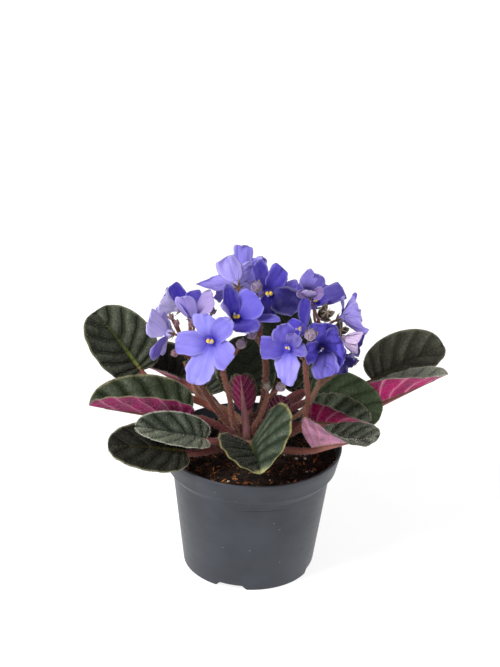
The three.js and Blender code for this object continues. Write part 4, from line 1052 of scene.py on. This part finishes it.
def stalk_piece(stalk, seed):
    """A flower stalk, and at its fork a stalk of its own for each bloom, bud and spent cup."""
    chance = random.Random(seed)
    low, high = [linear(colour) for colour in stalk["colours"]]
    flesh_look, hair_look, sepal_look, bud_look = range(4)
    azimuth, height = stalk["root"]
    root, way = crown_root(azimuth, height, 4 * height)
    fork = Vector(stalk["fork"])
    knots = [root, root + way * 5] + [Vector(knot) for knot in stalk["via"]] + [fork]
    path, leave = rounded_path(knots, STALK_STEPS)
    radii = [stalk["radius"] * (1 - 0.15 * i / STALK_STEPS) for i in range(STALK_STEPS + 1)]
    down = linear("#b8a294")
    green, brown = linear("#3f3d24"), linear("#452622")
    bm = start_mesh()
    frames = tube(bm, path, radii, 12, flesh_look, lambda a, b: blend(low, high, smooth(0.1, 0.9, a)))
    tube_hairs(bm, path, radii, frames, STALK_HAIRS, 1.5, hair_look, down, chance)
    level = 1.0

    def branch(end, out):
        """A stalk of its own from just below the fork to the end, each a little lower than the last."""
        nonlocal level
        reach = (end - fork).length
        base = fork - leave * level
        level += 2.4
        twig = bezier(base, fork + leave * (reach * 0.4 - level), end - out * (reach * 0.3 + 2),
                      end - out * 2, PEDICEL_STEPS - 1) + [end]
        thick = [PEDICEL_RADIUS * (1.15 - 0.25 * i / PEDICEL_STEPS) for i in range(PEDICEL_STEPS + 1)]
        around = tube(bm, twig, thick, 8, flesh_look, lambda a, b: blend(high, linear("#7e4036"), a * 0.6))
        tube_hairs(bm, twig, thick, around, STALK_HAIRS, 1.2, hair_look, down, chance)

    for bloom in BLOOMS:
        if bloom["stalk"] == stalk["name"]:
            at, out, _ = bloom_frame(bloom)
            end = at - out * 4.35
            branch(end, out)
            colour = blend(green, brown, chance.random())
            sepals(bm, end - out * 0.6, out, SEPAL_LENGTH + 0.6, 2.2, 32, sepal_look, colour, chance)
    for x, y, z, radius, skin in stalk["buds"]:
        at = Vector((x, y, z))
        out = ((at - fork).normalized() + Vector((0, -0.3, 0.3))).normalized()
        branch(at - out * radius * 0.7, out)
        bud(bm, at, out, radius, bud_look, linear(skin))
        colour = blend(green, brown, chance.random())
        foot = at - out * radius * 0.95
        sepals(bm, foot, out, radius * 2.2, radius * 1.1, 42, sepal_look, colour, chance, 0.5)
        ball_hairs(bm, at, out, radius, int(radius * 14), hair_look, down, chance)
    for place in stalk["spent"]:
        at = Vector(place)
        out = ((at - fork).normalized() + SPENT_LEAN).normalized()
        branch(at - out, out)
        for below, longer, width, lift, dead, curl in SPENT_RINGS:
            reach = SEPAL_LENGTH + longer
            sepals(bm, at - out * below, out, reach, width, lift, sepal_look, linear(dead), chance, curl)
        ovary = [at + out * d for d in (-1.4, -0.8, 0, 0.9, 1.6, 3, 4.4)]
        thick = [1.0, 1.3, 1.4, 1.1, 0.5, 0.35, 0.5]
        tube(bm, ovary, thick, 10, flesh_look, lambda a, b: linear("#8a8a3c"))
    piece("violet_stalk_" + stalk["name"], bm, [FLESH, HAIR, SEPAL, BUD], "stalk_" + stalk["name"])


# Pot, soil and crown

def rim_arc(x, z, radius, start, end, steps=4):
    """Points of a rounded corner about x, z, from one angle to another in degrees."""
    turns = [math.radians(start + (end - start) * i / steps) for i in range(steps + 1)]
    return [(x + radius * math.cos(a), z + radius * math.sin(a)) for a in turns]


def wall_radius(z):
    """The outer radius of the pot's body at a height."""
    return BASE_RADIUS + (BODY_TOP_RADIUS - BASE_RADIUS) * (z - 1) / (BODY_TOP_Z - 1)


def degrees_from(azimuth, x, y):
    """How many degrees x, y lies from an azimuth about the pot's axis, either way round."""
    return abs((math.degrees(math.atan2(y, x)) - azimuth + 180) % 360 - 180)


def pot_profile():
    """The pot's section from the middle of its underside out, up and back down to the middle."""
    step_z = POT_HEIGHT - BAND_HEIGHT
    foot_inside = BASE_RADIUS - FOOT_WIDTH
    below = [(0, BOSS_Z), (BOSS_RADIUS, BOSS_Z), (BOSS_RADIUS + 2, FLOOR_Z), (38, FLOOR_Z),
             (foot_inside, FLOOR_Z)]
    outside = [(foot_inside, 0), (foot_inside + 0.3, 0)]
    outside += rim_arc(BASE_RADIUS - 0.9, 0.9, 0.9, -90, 0, 3)
    heights = [2, 3, 4.4, 8, 16, 26, 36, 46, 54, 60, 64.8, 65.3, SINK_LINE_Z, 65.7, 66.2]
    outside += [(wall_radius(z), z) for z in heights]
    outside += rim_arc(BODY_TOP_RADIUS + 2, BODY_TOP_Z + 0.4, 2, 180, 130)
    outside += rim_arc(BAND_FOOT_RADIUS - 2, step_z + 0.6, 2, -50, 0)
    outside += [(BAND_FOOT_RADIUS + 1, step_z + 5), (BAND_FOOT_RADIUS + 2, step_z + 9)]
    outside += rim_arc(RIM_RADIUS - 0.75, POT_HEIGHT - 0.75, 0.75, 0, 90)
    inside = rim_arc(RIM_RADIUS - WALL + 0.5, POT_HEIGHT - 0.5, 0.5, 90, 180, 3)
    inside += [(BAND_FOOT_RADIUS - WALL - 0.2, step_z), (BODY_TOP_RADIUS - WALL, BODY_TOP_Z),
               (wall_radius(40) - WALL, 40), (BASE_RADIUS - WALL, FLOOR_Z + WALL), (40, FLOOR_Z + WALL),
               (BOSS_RADIUS + 2, FLOOR_Z + WALL), (BOSS_RADIUS, BOSS_Z + WALL), (0, BOSS_Z + WALL)]
    return below + outside + inside


def pot_piece():
    """The pot is one profile spun about its axis; its foot is then notched and its floor drilled."""
    bm = start_mesh()
    verts = [bm.verts.new((r, 0, z)) for r, z in pot_profile()]
    edges = [bm.edges.new(pair) for pair in zip(verts, verts[1:])]
    bmesh.ops.spin(bm, geom=verts + edges, cent=(0, 0, 0), axis=(0, 0, 1), angle=2 * math.pi,
                   steps=240, use_merge=True)
    bmesh.ops.remove_doubles(bm, verts=bm.verts, dist=1e-4)
    notches = [NOTCH_AZIMUTH + 360 * k / NOTCH_COUNT for k in range(NOTCH_COUNT)]
    for vert in bm.verts:
        x, y, z = vert.co
        radius = math.hypot(x, y)
        if z < 4.3 and radius > BASE_RADIUS - FOOT_WIDTH - 0.2:
            gap = math.radians(min(degrees_from(azimuth, x, y) for azimuth in notches)) * BASE_RADIUS
            cut = min(max((NOTCH_WIDTH / 2 + 1 - gap) / 2.5, 0), 1)
            vert.co.z = z + (NOTCH_HEIGHT - 0.1) * cut * max(1 - z / 4.4, 0)
        # A short sink line across the front of the body, where the mould has a ledge.
        level = abs(z - SINK_LINE_Z)
        if level < 0.3 and radius > wall_radius(z) - 0.5:
            arc = degrees_from(SINK_LINE_AZIMUTH, x, y)
            inward = 0.3 * (1 - smooth(9, 24, arc)) * (1 if level < 0.1 else 0.4)
            vert.co.x -= x / radius * inward
            vert.co.y -= y / radius * inward
    bmesh.ops.recalc_face_normals(bm, faces=bm.faces)
    for face in bm.faces:
        face.smooth = True
    for edge in bm.edges:
        if len(edge.link_faces) == 2 and edge.calc_face_angle() > math.radians(40):
            edge.smooth = False
    pot = piece("nursery_pot", bm, [POT], "pot")

    bm = bmesh.new()
    for k in range(DRAIN_COUNT):
        turn = 2 * math.pi * (k + 0.5) / DRAIN_COUNT
        place = Matrix.Translation(about_axis(DRAIN_RING_RADIUS, turn, FLOOR_Z))
        bmesh.ops.create_cone(bm, cap_ends=True, segments=32, radius1=DRAIN_RADIUS, radius2=DRAIN_RADIUS,
                              depth=8, matrix=place)
    drills = piece("drills", bm, [], None)
    cut = pot.modifiers.new("drain_holes", "BOOLEAN")
    cut.object = drills
    cut.solver = "EXACT"
    drilled = bpy.data.meshes.new_from_object(pot.evaluated_get(bpy.context.evaluated_depsgraph_get()))
    pot.modifiers.clear()
    pot.data = drilled
    bpy.data.objects.remove(drills)


def soil_height(x, y):
    """Height of the soil's surface: the source's lumps with crumbs on them."""
    reach = math.hypot(x, y)
    base = SOIL_Z + 2 - 3.2 * (reach / 55.3) ** 1.6
    lump = 1.1 * math.sin(x / 5.3 + 1.2) * math.cos(y / 4.7) + 0.7 * math.sin(x / 2.9 - y / 3.7)
    crumbs = 1.3 * noise.noise(Vector((x / 3.1, y / 3.1, 0.4)))
    crumbs += 0.9 * noise.noise(Vector((x / 1.5, y / 1.5, 3.7)))
    return base + (lump + crumbs) * (1 - smooth(50, 55, reach) * 0.7)


def soil_piece():
    """The soil: its underside and wall in the pot, its lumpy top, and what is scattered over that."""
    chance = random.Random(11)
    soil_look, bark_look, perlite_look = range(3)
    bm = start_mesh()
    bottom = FLOOR_Z + WALL + SOIL_GAP
    wall = [(0, bottom), (BASE_RADIUS - WALL - 1, bottom), (BODY_TOP_RADIUS - WALL - 0.7, BODY_TOP_Z),
            (BAND_FOOT_RADIUS - WALL - 1, POT_HEIGHT - BAND_HEIGHT)]
    top_rows = 40

    def place(a, b):
        turn = 2 * math.pi * b
        row = round(a * (len(wall) + top_rows))
        if row < len(wall):
            return about_axis(wall[row][0], turn, wall[row][1])
        point = about_axis(BAND_FOOT_RADIUS * (1 - (row - len(wall)) / top_rows), turn)
        point.z = soil_height(point.x, point.y)
        return point

    close(bm, sheet(bm, len(wall) + top_rows, 180, place, soil_look, lambda a, b: (0, 0, 0, 1)))

    def scatter(count, look, size, flat):
        """Crumbs of a size in mm, of which flat gives the width and height as shares of their length."""
        for _ in range(count):
            spot = about_axis(CRUMBS_RADIUS * math.sqrt(chance.random()), chance.uniform(0, 2 * math.pi))
            # None lies within about 12 mm of the crown's axis.
            if (spot - CROWN_AT).length_squared < 150:
                continue
            spot.z = soil_height(spot.x, spot.y) + 0.25
            length = chance.uniform(*size)
            spin = Matrix.Rotation(chance.uniform(0, 6.28), 4, "Z")
            spin = spin @ Matrix.Rotation(chance.uniform(-0.6, 0.6), 4, "Y")
            width = length * flat[0] * chance.uniform(0.7, 1.3)
            shape = Matrix.Diagonal((length, width, length * flat[1], 1))
            stand = Matrix.Translation(spot) @ spin @ shape
            for vert in bmesh.ops.create_icosphere(bm, subdivisions=1, radius=1, matrix=stand)["verts"]:
                vert.co += Vector([chance.uniform(-0.12, 0.12) * length * flat[0] for _ in range(3)])
                for face in vert.link_faces:
                    face.material_index = look

    scatter(900, soil_look, (0.7, 1.9), (0.9, 0.7))
    scatter(520, bark_look, (1.0, 3.2), (0.22, 0.14))
    scatter(130, bark_look, (1.0, 2.4), (0.6, 0.25))
    scatter(34, perlite_look, (0.6, 1.3), (0.9, 0.8))
    piece("potting_soil", bm, [SOIL, BARK, PERLITE], "soil")


def crown_piece():
    """The short stem: knobbly, ringed by leaf scars."""
    bm = start_mesh()
    profile = [(0, 66), (5, 66), (9, 70), (10, 74), (10, 80), (9.6, 84), (9.9, 87), (9, 90), (8, 93),
               (6, 96), (3, 97.6), (0, 98)]

    def place(a, b):
        r, z = profile[round(a * (len(profile) - 1))]
        turn = 2 * math.pi * b
        r *= 1 + 0.05 * noise.noise(Vector((math.cos(turn) * 2, math.sin(turn) * 2, z / 4)))
        return CROWN_AT + about_axis(r, turn, z)

    close(bm, sheet(bm, len(profile) - 1, 40, place, 0, lambda a, b: (0, 0, 0, 1)))
    piece("short_stem", bm, [CROWN], "crown")


pot_piece()
soil_piece()
crown_piece()
for number, leaf in enumerate(LEAVES):
    leaf_piece({**USUAL_LEAF, **leaf}, 100 + number)
for number, stalk in enumerate(STALKS):
    stalk_piece(stalk, 200 + number)
for number, bloom in enumerate(BLOOMS):
    bloom_piece({**USUAL_BLOOM, **bloom}, 300 + number)

# Floor, light and camera

bm = start_mesh()
sweep = [(0, 0), (400, 0), (1500, 0), (3000, 0), (3500, 90), (4000, 380), (4400, 900), (4600, 1600),
         (4700, 2600)]


def sweep_point(a, b):
    """The studio's floor, which curves up into a low white wall all round."""
    reach, height = sweep[round(a * (len(sweep) - 1))]
    return about_axis(reach, 2 * math.pi * b, height - 0.05)


close(bm, sheet(bm, len(sweep) - 1, 96, sweep_point, 0, lambda a, b: (1, 1, 1, 1)))
floor = piece("backdrop", bm, [PAPER], None)

world = bpy.data.worlds.new("studio")
world.use_nodes = True
world.node_tree.nodes["Background"].inputs["Color"].default_value = linear("#ffffff")
world.node_tree.nodes["Background"].inputs["Strength"].default_value = 0.22
bpy.context.scene.world = world
bpy.context.scene.view_settings.view_transform = "Standard"


def soft_light(name, at, size, power):
    """A round lamp, size metres across and power watts strong, that looks at the plant."""
    lamp = bpy.data.lights.new(name, "AREA")
    lamp.shape = "DISK"
    lamp.size = size
    lamp.energy = power
    made = bpy.data.objects.new(name, lamp)
    made.location = at
    made.rotation_euler = (Vector((0, 0, 0.12)) - Vector(at)).to_track_quat("-Z", "Y").to_euler()
    bpy.context.scene.collection.objects.link(made)


soft_light("key", (-1.25, -1.0, 1.75), 0.8, 41)
soft_light("fill", (1.6, -1.0, 1.0), 1.4, 2.5)

# The camera looks down at the plant from the front, turned a little about its own axis.
TARGET = Vector((-4.33, 0, 168.44)) / 1000
DISTANCE = 1.3
ELEVATION, ROLL = math.radians(25.08), math.radians(-2.18)
back_way = Vector((0, -math.cos(ELEVATION), math.sin(ELEVATION)))
level_way, up_way = Vector((1, 0, 0)), Vector((0, math.sin(ELEVATION), math.cos(ELEVATION)))
right_way = level_way * math.cos(ROLL) - up_way * math.sin(ROLL)
top_way = level_way * math.sin(ROLL) + up_way * math.cos(ROLL)
lens = bpy.data.cameras.new("camera")
lens.sensor_fit = "VERTICAL"
lens.sensor_height = 36
lens.lens = 107.8
lens.clip_end = 50
camera = bpy.data.objects.new("camera", lens)
turned = Matrix((right_way, top_way, back_way)).transposed().to_4x4()
camera.matrix_world = Matrix.Translation(TARGET + back_way * DISTANCE) @ turned
bpy.context.scene.collection.objects.link(camera)
bpy.context.scene.camera = camera
